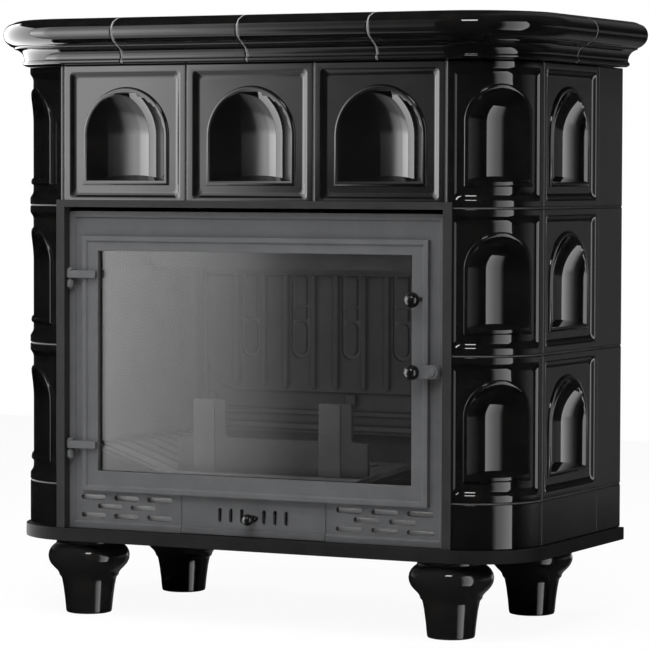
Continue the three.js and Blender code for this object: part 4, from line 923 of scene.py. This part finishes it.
class STOVE_OT_insert(bpy.types.Operator):
    """Make the steel surround and the cast front frame with its air slots"""

    bl_idname = "stove.insert"
    bl_label = "Surround and front frame"

    def execute(self, context):
        low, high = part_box("surround")
        half, top = high.x / MM, high.z / MM
        bottom = low.z / MM
        face = hoop_outline(half, top, 330.3, 651.7, bottom)
        front = prism("surround_face", upright(face, low.y), mm(0, 3, 0))
        back = hoop_outline(333.3, 654.7, 330.4, 651.7, bottom)
        returned = prism("surround_return", upright(back, low.y + 2 * MM), (0, high.y - low.y - 2 * MM, 0))
        surround = fuse(front, returned)
        ease(surround, 0.7 * MM, 2, 50)
        surround.name = "steel_surround"
        smooth(surround)
        dress(surround, "stove", "dark_steel", finish("surround_steel"), "surround")
        self.front_frame()
        return {"FINISHED"}

    def front_frame(self):
        half, bottom, top = 330.0, 140.3, 645.2
        front, back = -184.0, -173.0
        piece = block("cast_front_frame", mm(-half, front, bottom), mm(half, back, top))
        border(piece, ((9.5, 0), (0.9, -1.3), (1.3, -1.7)))
        tools = [
            block("mouth", mm(-284.5, front - 9, 223), mm(284.5, back + 9, 592.7)),
            block("drawer_mouth", mm(-127, front - 9, bottom - 9), mm(127, back + 9, 201)),
        ]
        carve(piece, *tools)
        reach, pitch = 22.5, 60.3
        slots = []
        for level, shift in ((190, 0), (176, pitch / 2), (161, 0)):
            x = 127 + 39.5 + shift
            while x <= half - 18 - reach:
                for side in (-1, 1):
                    pairs = rounded(side * x - reach, side * x + reach, level - 4, level + 4, 3.95)
                    slots.append(slab("slot", pairs, -190, 30))
                x += pitch
        carve(piece, gather("slots", slots))
        ease(piece, 0.7 * MM, 2, 40)
        barrels = []
        for arm in HINGE_ARMS:
            low, high = arm - 15, arm - 3
            profile = ((0, low), (4.9, low), (5.5, low + 0.6), (5.5, high - 0.6), (4.9, high), (0, high))
            neck = block("neck", mm(-326.5, -191, arm - 14.6), mm(-320.5, -182, arm - 3.4))
            barrels += [turned("barrel", profile, HINGE_AXIS, 24), ease(neck, 0.6 * MM)]
        deflectors = [side_block("deflector", s, (140, 318), (-171.6, 146), (-170.4, 198)) for s in (-1, 1)]
        plate = gather("air_deflector", deflectors)
        smooth(plate)
        dress(plate, "stove", "inner_steel", finish("bright_sheet"))
        gather("cast_front_frame", [piece, *barrels])
        smooth(piece)
        dress(piece, "stove", "front_iron", finish("iron"), "front_frame")


# ------------------------------------------------------------------ door


def ball_profile(radius, neck, reach, steps):
    """A ball on a neck, as (radius, height) pairs in millimetres."""
    start = math.asin(neck / radius)
    profile = [(0, 0), (neck, 0)]
    for i in range(steps):
        angle = start + (math.pi - start) * i / steps
        profile.append((radius * math.sin(angle), reach - radius * math.cos(angle)))
    return [*profile, (0, reach + radius)]


class STOVE_OT_door(bpy.types.Operator):
    """Make the door with its pane, hinges, knobs and latch"""

    bl_idname = "stove.door"
    bl_label = "Door"

    def execute(self, context):
        self.door_frame()
        self.hardware()
        pane = block("pane", *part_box("door_glass"))
        ease(pane, 0.8 * MM, 2)
        smooth(pane)
        dress(pane, "door", "pane", finish("pane"), "door_glass")
        return {"FINISHED"}

    def door_frame(self):
        half, bottom, top = 302.5, 201.0, 605.7
        face, back = -191.3, -181.3
        piece = block("cast_door", mm(-half, face, bottom), mm(half, back, top))
        border(piece, ((7.2, 0), (1.0, -1.0), (1.3, -1.5)))
        carve(piece, block("window", mm(-274.5, face - 9, 233), mm(274.5, back + 9, 582.7)))
        ease(piece, 0.8 * MM, 2, 40)
        ring = block("ring", mm(-283.8, back - 0.6, 223.7), mm(283.8, back + 9, 592))
        carve(ring, block("hollow", mm(-279.8, back - 9, 227.7), mm(279.8, back + 19, 588)))
        parts = [ease(ring, 0.3 * MM)]
        for low in HINGE_ARMS:
            parts += self.hinge_arm(low)
        gather("cast_door", [piece, *parts, self.latch_ear()])
        smooth(piece)
        dress(piece, "door", "front_iron", finish("iron"), "door_frame")

    def hinge_arm(self, low):
        """Eye round the pin and a bar that laps over the door's border."""
        high = low + 12
        section = (
            (3.6, low), (5.4, low), (6, low + 0.6), (6, high - 0.6), (5.4, high), (3.6, high), (3.6, low),
        )
        eye = turned("eye", section, HINGE_AXIS, 28)
        bar = slab("bar", rounded(-322, -275.5, low, high, 2.4, 3), -196.4, 8)
        ease(bar, 0.7 * MM, 2, 50)
        bore = ((0, low - 3), (3.6, low - 3), (3.6, high + 3), (0, high + 3))
        carve(bar, turned("bore", bore, HINGE_AXIS, 24))
        return [eye, bar]

    def latch_ear(self):
        pairs = rounded(280.5, 324.5, LATCH_LEVEL - 10, LATCH_LEVEL + 10, 6, 5)
        return ease(slab("ear", pairs, -196.8, 8.5), 0.8 * MM, 2, 50)

    def hardware(self):
        """Hinge pins, the two ball knobs, and the latch's lever with its screw."""
        for level, low in zip(("upper", "lower"), HINGE_ARMS):
            profile = (
                (0, low - 17.5), (2.4, low - 17.5), (3, low - 16.9), (3, low + 12.3), (5.2, low + 12.3),
                (5.4, low + 13.2), (4.8, low + 15.0), (3.0, low + 16.0), (0, low + 16.3),
            )
            pin = turned(f"turned_hinge_pin_{level}", profile, HINGE_AXIS, 28)
            smooth(pin, 40)
            dress(pin, "stove", "front_iron", finish("iron"), f"hinge_pin_{level}")
        self.ball("door_knob_ball", 516.2, 28.9, -189.1, "door", "door_knob")
        self.ball("latch_knob_ball", LATCH_LEVEL, 15.6, -203.4, "latch", "latch_knob")
        pairs = rounded(278.5, 324.5, LATCH_LEVEL - 10, LATCH_LEVEL + 10, 9.6, 8)
        lever = slab("latch_bar", pairs, -203.1, 6)
        bore = ((0, -9), (4, -9), (4, 9), (0, 9))
        carve(lever, turned("bore", bore, (314.5, -200, LATCH_LEVEL), 24, True))
        ease(lever, 0.9 * MM, 3, 50)
        smooth(lever)
        dress(lever, "latch", "front_iron", finish("iron"), "latch_lever")
        head = (
            (0, -9), (3.5, -9), (3.5, 11.2), (6.2, 11.2), (6.5, 11.8), (6.1, 13.4), (4.6, 14.4), (0, 14.6),
        )
        screw = turned("latch_screw_head", head, (314.5, -192.2, LATCH_LEVEL), 28, True)
        smooth(screw, 40)
        dress(screw, "door", "front_iron", finish("iron"), "latch_screw")

    def ball(self, name, level, reach, foot, body, node):
        """A ball knob on a short neck, at a level; its foot is a place in y."""
        knob = turned(name, ball_profile(12, 4, reach, 24), (288.5, foot, level), 40, True)
        smooth(knob, 40)
        dress(knob, body, "knob_black", finish("ball"), node)


# ------------------------------------------------------------------ ash drawer


def drawer_slots(shift):
    """Tools for the six upright slots of the drawer's front or, shifted in x, of its air slide."""
    slots = []
    for i in (1, 2, 3):
        for side in (-1, 1):
            x = side * i * 19.4 + shift
            slots.append(slab("slot", rounded(x - 3.5, x + 3.5, 160.75, 183.25, 3.45), -190, 30))
    return slots


class STOVE_OT_drawer(bpy.types.Operator):
    """Make the ash drawer with its slots and the knob of its air slide"""

    bl_idname = "stove.drawer"
    bl_label = "Ash drawer"

    def execute(self, context):
        half, bottom, top = 126.2, 141.1, 200.2
        front = block("cast_drawer", mm(-half, -181, bottom), mm(half, -175, top))
        lip = block("lip", mm(-half, -184, bottom), mm(half, -180.5, 151.3))
        fuse(front, lip)
        slots = drawer_slots(0)
        slots.append(slab("slot", rounded(-8.7, 8.7, 165.3, 172.7, 3.65), -190, 30))
        carve(front, gather("slots", slots))
        ease(front, 0.6 * MM, 2, 40)
        pan = block("pan", mm(-118.2, -172.4, 140.4), mm(118.2, 127.6, 190.3))
        carve(pan, block("hollow", mm(-115.7, -169.9, 142.8), mm(115.7, 125.1, 199)))
        carve(pan, block("notch", mm(-67.7, -180, 157), mm(67.7, -160, 199)))
        ease(pan, 0.5 * MM, 2, 50)
        rail = block("rail", mm(-118.2, -176, 141.2), mm(118.2, -171.4, 156))
        ends = [side_block("end", side, (74, 118.2), (-176, 155), (-171.4, 190.3)) for side in (-1, 1)]
        gather("cast_drawer", [front, pan, rail, *ends])
        smooth(front)
        dress(front, "drawer", "front_iron", finish("iron"), "ash_drawer")
        self.slide()
        return {"FINISHED"}

    def slide(self):
        """The air slide behind the drawer's front, and its knob with a collar."""
        low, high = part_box("air_slide")
        plate = block("air_slide_plate", (low.x, -174.7 * MM, low.z), (high.x, -172.7 * MM, high.z))
        carve(plate, gather("slots", drawer_slots(-5)))
        smooth(plate, 40)
        dress(plate, "air_control", "front_iron", finish("iron"), "air_slide")
        place = (0, -174.2, 169)
        knob = turned("knob", ball_profile(9.2, 3.0, 24.7, 20), place, 36, True)
        rim = ((0, 7.2), (5.6, 7.2), (6.2, 8), (6.2, 9), (5.0, 10.6), (0, 10.6))
        collar = turned("collar", rim, place, 28, True)
        gather("air_slide_knob", [knob, collar])
        smooth(knob, 40)
        dress(knob, "air_control", "knob_black", finish("ball"))


# ------------------------------------------------------------------ hearth and linings


class STOVE_OT_hearth(bpy.types.Operator):
    """Cast the hearth, the log guard and the fireback"""

    bl_idname = "stove.hearth"
    bl_label = "Hearth and linings"

    def execute(self, context):
        self.guard()
        self.fireback()
        for node in ("fire_box",):
            repaint(node, finish("box_steel"))
        for node in ("hearth", "grate", "side_lining_left", "side_lining_right", "baffle"):
            repaint(node, finish("hearth"))
        return {"FINISHED"}

    def guard(self):
        """Low wall with two posts; round corners where the posts meet the wall."""
        low, wall, post, half = 233.5, 288.2, 348.2, 168
        pairs = [(-half, low), (half, low), (half, wall - 2)]
        for side in (1, -1):
            outer, inner = side * 139.5, side * 82.5
            first, second = (outer, inner) if side > 0 else (inner, outer)
            pairs += self.step_up(first, wall, post, 1 if side > 0 else 1)
            pairs += self.step_down(second, wall, post)
        pairs += [(-half, wall - 2)]
        guard = prism("cast_log_guard", upright(pairs, -120 * MM), mm(0, 9, 0))
        ease(guard, 1.0 * MM, 2, 40)
        spines = []
        for side in (-1, 1):
            x = side * 111
            spine = block("spine", mm(x - 14, -112, low), mm(x + 14, -102, post - 9))
            strap = block("strap", mm(x - 27.5, -122, low), mm(x + 10, -118, post - 1.2))
            spines += [ease(spine, 2 * MM, 3), ease(strap, 1.2 * MM, 3)]
        gather("cast_log_guard", [guard, *spines])
        smooth(guard)
        dress(guard, "stove", "hearth_iron", finish("guard"), "log_guard")

    def step_up(self, x, wall, post, _):
        """From the wall's top up a post's edge, going left."""
        radius = 7
        foot = arc((x + radius, wall + radius), radius, 270, 180, 5)
        head = arc((x - 3, post - 3), 3, 0, 90, 3)
        return foot + head

    def step_down(self, x, wall, post):
        radius = 7
        head = arc((x + 3, post - 3), 3, 90, 180, 3)
        foot = arc((x - radius, wall + radius), radius, 0, -90, 5)
        return head + foot

    def fireback(self):
        """Back plate with a raised panel, oval bosses with square blocks, and upright ribs."""
        half, low, high = 282.9, 277.2, 553.2
        plate = block("cast_fireback", mm(-half, 167, low), mm(half, 177, high))
        ease(plate, 1.5 * MM, 2)
        panel_half, corner = 267.9, 62
        bottom, top = 345.2, 538.2
        pairs = arc((-panel_half + corner, bottom + corner), corner, 180, 270, 14)
        pairs += arc((panel_half - corner, bottom + corner), corner, 270, 360, 14)
        pairs += [(panel_half, top), (-panel_half, top)]
        panel = prism("panel", upright(pairs, 161 * MM), mm(0, 7, 0))
        channels = []
        for i in range(-2, 3):
            x = i * 93
            pairs = rounded(x - 17, x + 17, 400, 560, 16.8, 10)
            channels.append(prism("channel", upright(pairs, 150 * MM), mm(0, 16.4, 0)))
        carve(panel, gather("channels", channels))
        ease(panel, 1.6 * MM, 3, 40)
        details = [panel]
        for i in range(-2, 3):
            x = i * 93
            for low_z, high_z, radius in ((407, 461.5, 10.8), (464.5, 485, 1.6), (488, 537.5, 3)):
                pairs = rounded(x - 11, x + 11, low_z, high_z, radius, 7)
                front = 160 if radius < 2 else 161
                island = prism("island", upright(pairs, front * MM), mm(0, 7, 0))
                details.append(ease(island, 1.5 * MM, 3, 50))
            for offset in (-25.5, 25.5):
                rib_x = x + offset
                reach = min(max(abs(rib_x) - (panel_half - corner), 0), corner)
                foot = bottom + 7 + corner - math.sqrt(corner**2 - reach**2)
                rib = block("rib", mm(rib_x - 4, 154.2, foot), mm(rib_x + 4, 163, top))
                details.append(ease(rib, 1.8 * MM, 3))
        rail = block("rail", mm(-panel_half, 154.1, top), mm(panel_half, 168, high - 3))
        details.append(ease(rail, 2.2 * MM, 3))
        groove = block("lip", mm(-half + 4, 160, low + 6), mm(half - 4, 168, low + 14))
        details.append(ease(groove, 2 * MM, 3))
        shelf = block("lip", mm(-half + 30, 162, low + 30), mm(half - 30, 168, low + 37))
        details.append(ease(shelf, 2 * MM, 3))
        for side in (-1, 1):
            flange = block("flange", mm(min(side * 280, side * 270), 163, low + 20), mm(max(side * 280, side * 270), 168, high - 2))
            details.append(ease(flange, 1.5 * MM, 2))
            x = side * 262
            stud = lathe("stud", [mm(*p) for p in ((0, 0), (9, 0), (9, 2.5), (7.6, 3.6), (5, 3.9), (0, 3.9))], mm(x, 167.2, 329), 28, True)
            details.append(stud)
            pad = block("pad", mm(min(side * 228, side * 258), 176, bottom), mm(max(side * 228, side * 258), 188.7, top))
            details.append(pad)
        hook = block("hook", mm(-9, 158, bottom - 22), mm(9, 168, bottom - 3))
        details.append(ease(hook, 2.5 * MM, 3))
        gather("cast_fireback", [plate, *details])
        smooth(plate)
        dress(plate, "stove", "hearth_iron", finish("hearth"), "fireback")


# ------------------------------------------------------------------ back


class STOVE_OT_back(bpy.types.Operator):
    """Finish the steel casing and the top plate"""

    bl_idname = "stove.back"
    bl_label = "Casing and top plate"

    def execute(self, context):
        repaint("steel_casing", finish("box_steel"))
        repaint("top_plate", finish("dark_steel"))
        return {"FINISHED"}


# ------------------------------------------------------------------ stage


INNER_PIECES = ("cast_fireback", "cast_log_guard", "hearth", "side_lining", "baffle", "grate")


class STOVE_OT_stage(bpy.types.Operator):
    """Set the floor, the lamps, the world and the camera"""

    bl_idname = "stove.stage"
    bl_label = "Studio"

    def execute(self, context):
        settings = context.scene.stove_studio
        self.floor(settings.floor_size)
        self.lamps(settings)
        self.world(context.scene)
        self.camera(context.scene)
        context.scene.view_settings.view_transform = "Standard"
        return {"FINISHED"}

    def floor(self, size):
        """Pale floor, white to the camera, that keeps the stove's shadow and stays out of the glaze."""
        idle()
        bpy.ops.mesh.primitive_plane_add(size=size, location=(0, 0, 0))
        floor = bpy.context.object
        floor.name = "floor"
        floor.visible_glossy = False
        floor.visible_shadow = False
        paint = new_finish("pale_floor")
        lit = paint.node("ShaderNodeBsdfDiffuse", {}, {"Color": (0.8, 0.8, 0.8, 1)})
        glow = paint.node("ShaderNodeEmission", {}, {"Color": (1, 1, 1, 1), "Strength": 1.0})
        camera = paint.node("ShaderNodeLightPath", {}, {}, "Is Camera Ray")
        shown = paint.node("ShaderNodeMixShader", {}, {0: camera * 0.94, 1: lit, 2: glow})
        paint.node("ShaderNodeOutputMaterial", {}, {"Surface": shown})
        floor.data.materials.append(paint.owner)

    def lamp(self, name, place, aim, width, height, brightness):
        """A soft box of a given brightness, where 1 shows as white."""
        idle()
        bpy.ops.object.light_add(type="AREA", location=place)
        lamp = bpy.context.object
        lamp.name = name
        lamp.visible_camera = False
        lamp.data.shape = "RECTANGLE"
        lamp.data.size = width
        lamp.data.size_y = height
        lamp.data.energy = math.pi * width * height * brightness
        step = [b - a for a, b in zip(place, aim)]
        yaw = math.atan2(-step[0], step[1])
        pitch = math.atan2(step[2], math.hypot(step[0], step[1]))
        lamp.rotation_euler = (math.pi / 2 + pitch, 0, yaw)
        return lamp

    def pieces(self, start):
        return [piece for piece in bpy.data.objects if piece.name.startswith(start)]

    def keep_off(self, lamp, pieces):
        """Flags a lamp off some pieces, as black card does in a studio."""
        skipped = bpy.data.collections.new(lamp.name + "_flag")
        for piece in pieces:
            skipped.objects.link(piece)
        lamp.light_linking.receiver_collection = skipped
        for item in skipped.collection_objects:
            item.light_linking.link_state = "EXCLUDE"

    def ramp(self, light, value, stops):
        """A grey ramp over a value that runs from 0 to 1."""
        stops = [(at, (level, level, level)) for at, level in stops]
        return light.node("ShaderNodeValToRGB", {"stops": stops}, {0: value})

    def times(self, light, first, second):
        kind = {"data_type": "RGBA", "blend_type": "MULTIPLY"}
        return light.node("ShaderNodeMix", kind, {0: 1.0, 6: first, 7: second}, 2)

    def graded(self, lamp, brightness, across_stops, low_stops, step, rise_stops):
        """Grades a lamp over its width, in one way above a height of its own and in another below."""
        cloth = Finish(lamp.data)
        x, y = (cloth.node("ShaderNodeSeparateXYZ", {}, {0: cloth.place()}, axis) for axis in (0, 1))
        across = x * (1 / lamp.data.size) + 0.5
        rise = y * (1 / lamp.data.size_y) + 0.5
        upper = cloth.grey(rise, step - 0.02, step + 0.02, 0.0, 1.0)
        mixed = {"data_type": "RGBA"}
        ends = {0: upper, 6: self.ramp(cloth, across, low_stops), 7: self.ramp(cloth, across, across_stops)}
        level = self.times(cloth, cloth.node("ShaderNodeMix", mixed, ends, 2), self.ramp(cloth, rise, rise_stops))
        glow = cloth.node("ShaderNodeEmission", {}, {"Color": level, "Strength": brightness})
        cloth.node("ShaderNodeOutputLight", {}, {"Surface": glow})
        lamp.data.energy = math.pi * lamp.data.size * lamp.data.size_y
        return lamp

    def scrim(self, name, start, end, stops, low_stops, brightness):
        """An upright cloth to the left, whose light falls off towards its edges."""
        centre = (start + end) / 2
        lamp = self.lamp(name, (centre, -1.05, 0.2), (centre, 0, 0.2), end - start, 3.6, 1)
        rise = ((0.0, 0.1), (0.45, 0.2), (0.5, 0.45), (0.6, 0.62), (0.65, 1.0), (0.71, 1.0), (0.78, 0.5), (1.0, 0.2))
        return self.graded(lamp, brightness, stops, low_stops, 0.64, rise)

    def lamps(self, settings):
        """Boxes that the glaze mirrors, and broad fills that light the matte pieces."""
        split = -0.98
        fade = (
            (0.0, 0.56), (0.25, 0.56), (0.403, 0.4), (0.486, 0.25), (0.57, 0.165), (0.7, 0.08), (0.9, 0.04),
            (1.0, 0.03),
        )
        low_fade = (
            (0.0, 0.66), (0.2, 0.62), (0.403, 0.42), (0.486, 0.3), (0.54, 0.2), (0.58, 0.11), (0.62, 0.05),
            (0.72, 0.02), (1.0, 0.01),
        )
        near = self.scrim("near_scrim", split, 0.0, fade, low_fade, settings.scrim)
        fade = ((0.0, 1.0), (0.8, 0.95), (0.93, 0.8), (1.0, 0.62))
        far = self.scrim("far_scrim", -1.9, split, fade, fade, settings.scrim)
        box = self.lamp("left_box", (-1.95, 0.15, 0.2), (0, 0.15, 0.2), 2.4, 3.6, settings.scrim * 0.5)
        flat = ((0.0, 1.0), (1.0, 1.0))
        strip = self.lamp("right_strip", (3.09, -1.236, 0.2), (0.4, -0.15, 0.2), 1.84, 4.4, 1)
        fade = ((0.0, 0.0), (0.1, 0.1), (0.24, 0.38), (0.44, 0.5), (0.66, 0.7), (0.98, 1.0), (1.0, 0.0))
        self.graded(strip, settings.strip, fade, fade, 0.5, flat)
        side = self.lamp("side_box", (5.14, 1.69, -0.8), (0.44, -0.02, -0.8), 3.64, 6.4, 1)
        fade = ((0.0, 0.0), (0.1, 0.02), (0.25, 0.08), (0.42, 0.28), (0.62, 0.62), (0.8, 0.9), (0.99, 1.0), (1.0, 0.0))
        low_fade = ((0.0, 0.0), (0.3, 0.05), (0.45, 0.5), (0.6, 0.9), (0.99, 1.0), (1.0, 0.0))
        self.graded(side, settings.strip * 0.9, fade, low_fade, 0.53, flat)
        feet = self.pieces("glazed_foot")
        glazed = [piece for piece in self.pieces("glazed_") if piece not in feet]
        left = [piece for piece in glazed if "_left" in piece.name]
        left = [piece for piece in left if "front" not in piece.name and "cornice" not in piece.name]
        flank = self.pieces("glazed_side_tile_right")
        for lamp in (near, far, box, strip, side):
            lamp.visible_diffuse = False
        self.keep_off(far, left + feet)
        self.keep_off(box, left + feet)
        self.keep_off(near, feet)
        others = [piece for piece in bpy.data.objects if piece.type == "MESH" and piece not in flank]
        self.keep_off(side, others)
        hearth = [piece for name in INNER_PIECES for piece in self.pieces(name)]
        inner = self.lamp("hearth_light", (-1.15, -2.85, 0.95), (0, 0.1, 0.42), 0.5, 0.5, settings.inner)
        inner.visible_glossy = False
        lit = bpy.data.collections.new("hearth_light_on")
        for piece in hearth:
            lit.objects.link(piece)
        inner.light_linking.receiver_collection = lit
        self.lamp("key", (1.0, -2.6, 2.9), (0, 0, 0.5), 0.9, 0.6, settings.key)
        front = self.lamp("front_fill", (0.3, -2.4, 2.7), (0, 0, 0.4), 3.2, 2.2, settings.fill)
        above = self.lamp("top_fill", (0, -0.4, 3.4), (0, 0, 0), 3.0, 3.0, settings.fill * 1.6)
        for lamp in (front, above):
            lamp.visible_glossy = False

    def world(self, scene):
        """White to the camera; the glaze also sees the pale backdrop behind, in a dim room."""
        world = bpy.data.worlds.new("studio")
        scene.world = world
        sky = Finish(world)
        way = sky.node("ShaderNodeTexCoord", {}, {}, "Generated")
        x, y = (sky.node("ShaderNodeSeparateXYZ", {}, {0: way}, axis) for axis in (0, 1))
        azimuth = sky.node("ShaderNodeMath", {"operation": "ARCTAN2"}, {0: x, 1: y * -1.0})
        stops = (
            (-180, 1), (-168, 1), (-160, 0.03), (-90, 0.02), (-5, 0.02), (60, 0.012), (98, 0.02), (113, 0.22),
            (128, 0.4), (140, 0.28), (150, 0.17), (162, 0.17), (168, 0.5), (174, 1.0),
        )
        stops = [((angle + 180) / 360, (value, value, value)) for angle, value in stops]
        room = sky.node("ShaderNodeValToRGB", {"stops": stops}, {0: azimuth * (1 / TAU) + 0.5})
        height = sky.node("ShaderNodeSeparateXYZ", {}, {0: way}, 2)
        stops = ((0.0, 0.12), (0.44, 0.15), (0.455, 1.0), (0.51, 1.0), (0.53, 0.12), (1.0, 0.12))
        stops = [(at, (value, value, value)) for at, value in stops]
        low = sky.node("ShaderNodeValToRGB", {"stops": stops}, {0: height * 0.5 + 0.5})
        both = {"data_type": "RGBA", "blend_type": "MULTIPLY"}
        room = sky.node("ShaderNodeMix", both, {0: 1.0, 6: room, 7: low}, 2)
        dim = sky.node("ShaderNodeBackground", {}, {"Color": room, "Strength": 1.0})
        white = sky.node("ShaderNodeBackground", {}, {"Color": (1, 1, 1, 1), "Strength": 1.0})
        camera = sky.node("ShaderNodeLightPath", {}, {}, "Is Camera Ray")
        shown = sky.node("ShaderNodeMixShader", {}, {0: camera, 1: dim, 2: white})
        sky.node("ShaderNodeOutputWorld", {}, {"Surface": shown})

    def camera(self, scene):
        idle()
        turn = [math.radians(angle) for angle in (87.434, -0.165, 26.685)]
        bpy.ops.object.camera_add(location=(2.3901, -4.6915, 0.7014), rotation=turn)
        camera = bpy.context.object
        camera.data.sensor_width = 36
        camera.data.lens = 3296.69 / 650 * 36
        camera.data.shift_x = 0.00042
        camera.data.shift_y = -0.00166
        camera.data.clip_end = 60
        scene.camera = camera


# ------------------------------------------------------------------ panel and run


class STOVE_PT_panel(bpy.types.Panel):
    """The stove's pieces, in the order in which they are made"""

    bl_idname = "STOVE_PT_panel"
    bl_label = "Tiled stove"
    bl_space_type = "VIEW_3D"
    bl_region_type = "UI"
    bl_category = "Stove"

    def draw(self, context):
        layout = self.layout
        for settings in (context.scene.stove_tiles, context.scene.stove_studio):
            box = layout.box()
            for key in settings.__annotations__:
                box.prop(settings, key)
        for operator in OPERATORS:
            layout.operator(operator.bl_idname)


OPERATORS = (
    STOVE_OT_tiles,
    STOVE_OT_cornice,
    STOVE_OT_base,
    STOVE_OT_insert,
    STOVE_OT_door,
    STOVE_OT_drawer,
    STOVE_OT_hearth,
    STOVE_OT_back,
    STOVE_OT_stage,
)
CLASSES = (TileSettings, StudioSettings, *OPERATORS, STOVE_PT_panel)


def register():
    for cls in CLASSES:
        bpy.utils.register_class(cls)
    bpy.types.Scene.stove_tiles = bpy.props.PointerProperty(type=TileSettings)
    bpy.types.Scene.stove_studio = bpy.props.PointerProperty(type=StudioSettings)


def unregister():
    del bpy.types.Scene.stove_tiles
    del bpy.types.Scene.stove_studio
    for cls in reversed(CLASSES):
        bpy.utils.unregister_class(cls)


def main():
    register()
    FINISHES["glaze"] = black_glaze("black_glaze")
    FINISHES["iron"] = cast_paint("grey_cast_paint", (0.072, 0.073, 0.076), (0.088, 0.089, 0.092), 0.55)
    FINISHES["dark_steel"] = cast_paint("dark_steel_paint", (0.009, 0.009, 0.0095), (0.013, 0.013, 0.0135), 0.5, 0.04)
    FINISHES["surround_steel"] = cast_paint("surround_paint", (0.02, 0.02, 0.0205), (0.027, 0.027, 0.0275), 0.5, 0.06)
    FINISHES["foot_glaze"] = black_glaze("foot_glaze", 0.009, 0.1)
    FINISHES["bright_sheet"] = cast_paint("galvanised_sheet", (0.4, 0.4, 0.4), (0.55, 0.55, 0.55), 0.4, 0.5)
    FINISHES["box_steel"] = cast_paint("fire_box_steel", (0.07, 0.07, 0.072), (0.11, 0.11, 0.11), 0.6)
    # The fire box's casting is a lighter copy of the guard's iron: painted light on the shaded inner casting.
    FINISHES["hearth"] = iron_with_painted_shade("sooty_casting", (0.13, 0.13, 0.133), (0.19, 0.19, 0.19))
    FINISHES["guard"] = iron_with_painted_shade("guard_iron", (0.05, 0.05, 0.051), (0.075, 0.075, 0.075))
    FINISHES["grout"] = grout("grey_grout", (0.05, 0.05, 0.05), (0.085, 0.085, 0.085))
    FINISHES["pale_grout"] = grout("pale_grout", (0.16, 0.16, 0.16), (0.24, 0.24, 0.235))
    FINISHES["ball"] = black_ball("black_ball")
    FINISHES["pane"] = pane_glass("ceramic_glass")
    bpy.ops.stove.tiles()
    bpy.ops.stove.cornice()
    bpy.ops.stove.base()
    bpy.ops.stove.insert()
    bpy.ops.stove.door()
    bpy.ops.stove.drawer()
    bpy.ops.stove.hearth()
    bpy.ops.stove.back()
    bpy.ops.stove.stage()
    idle()


if __name__ == "__main__":
    main()
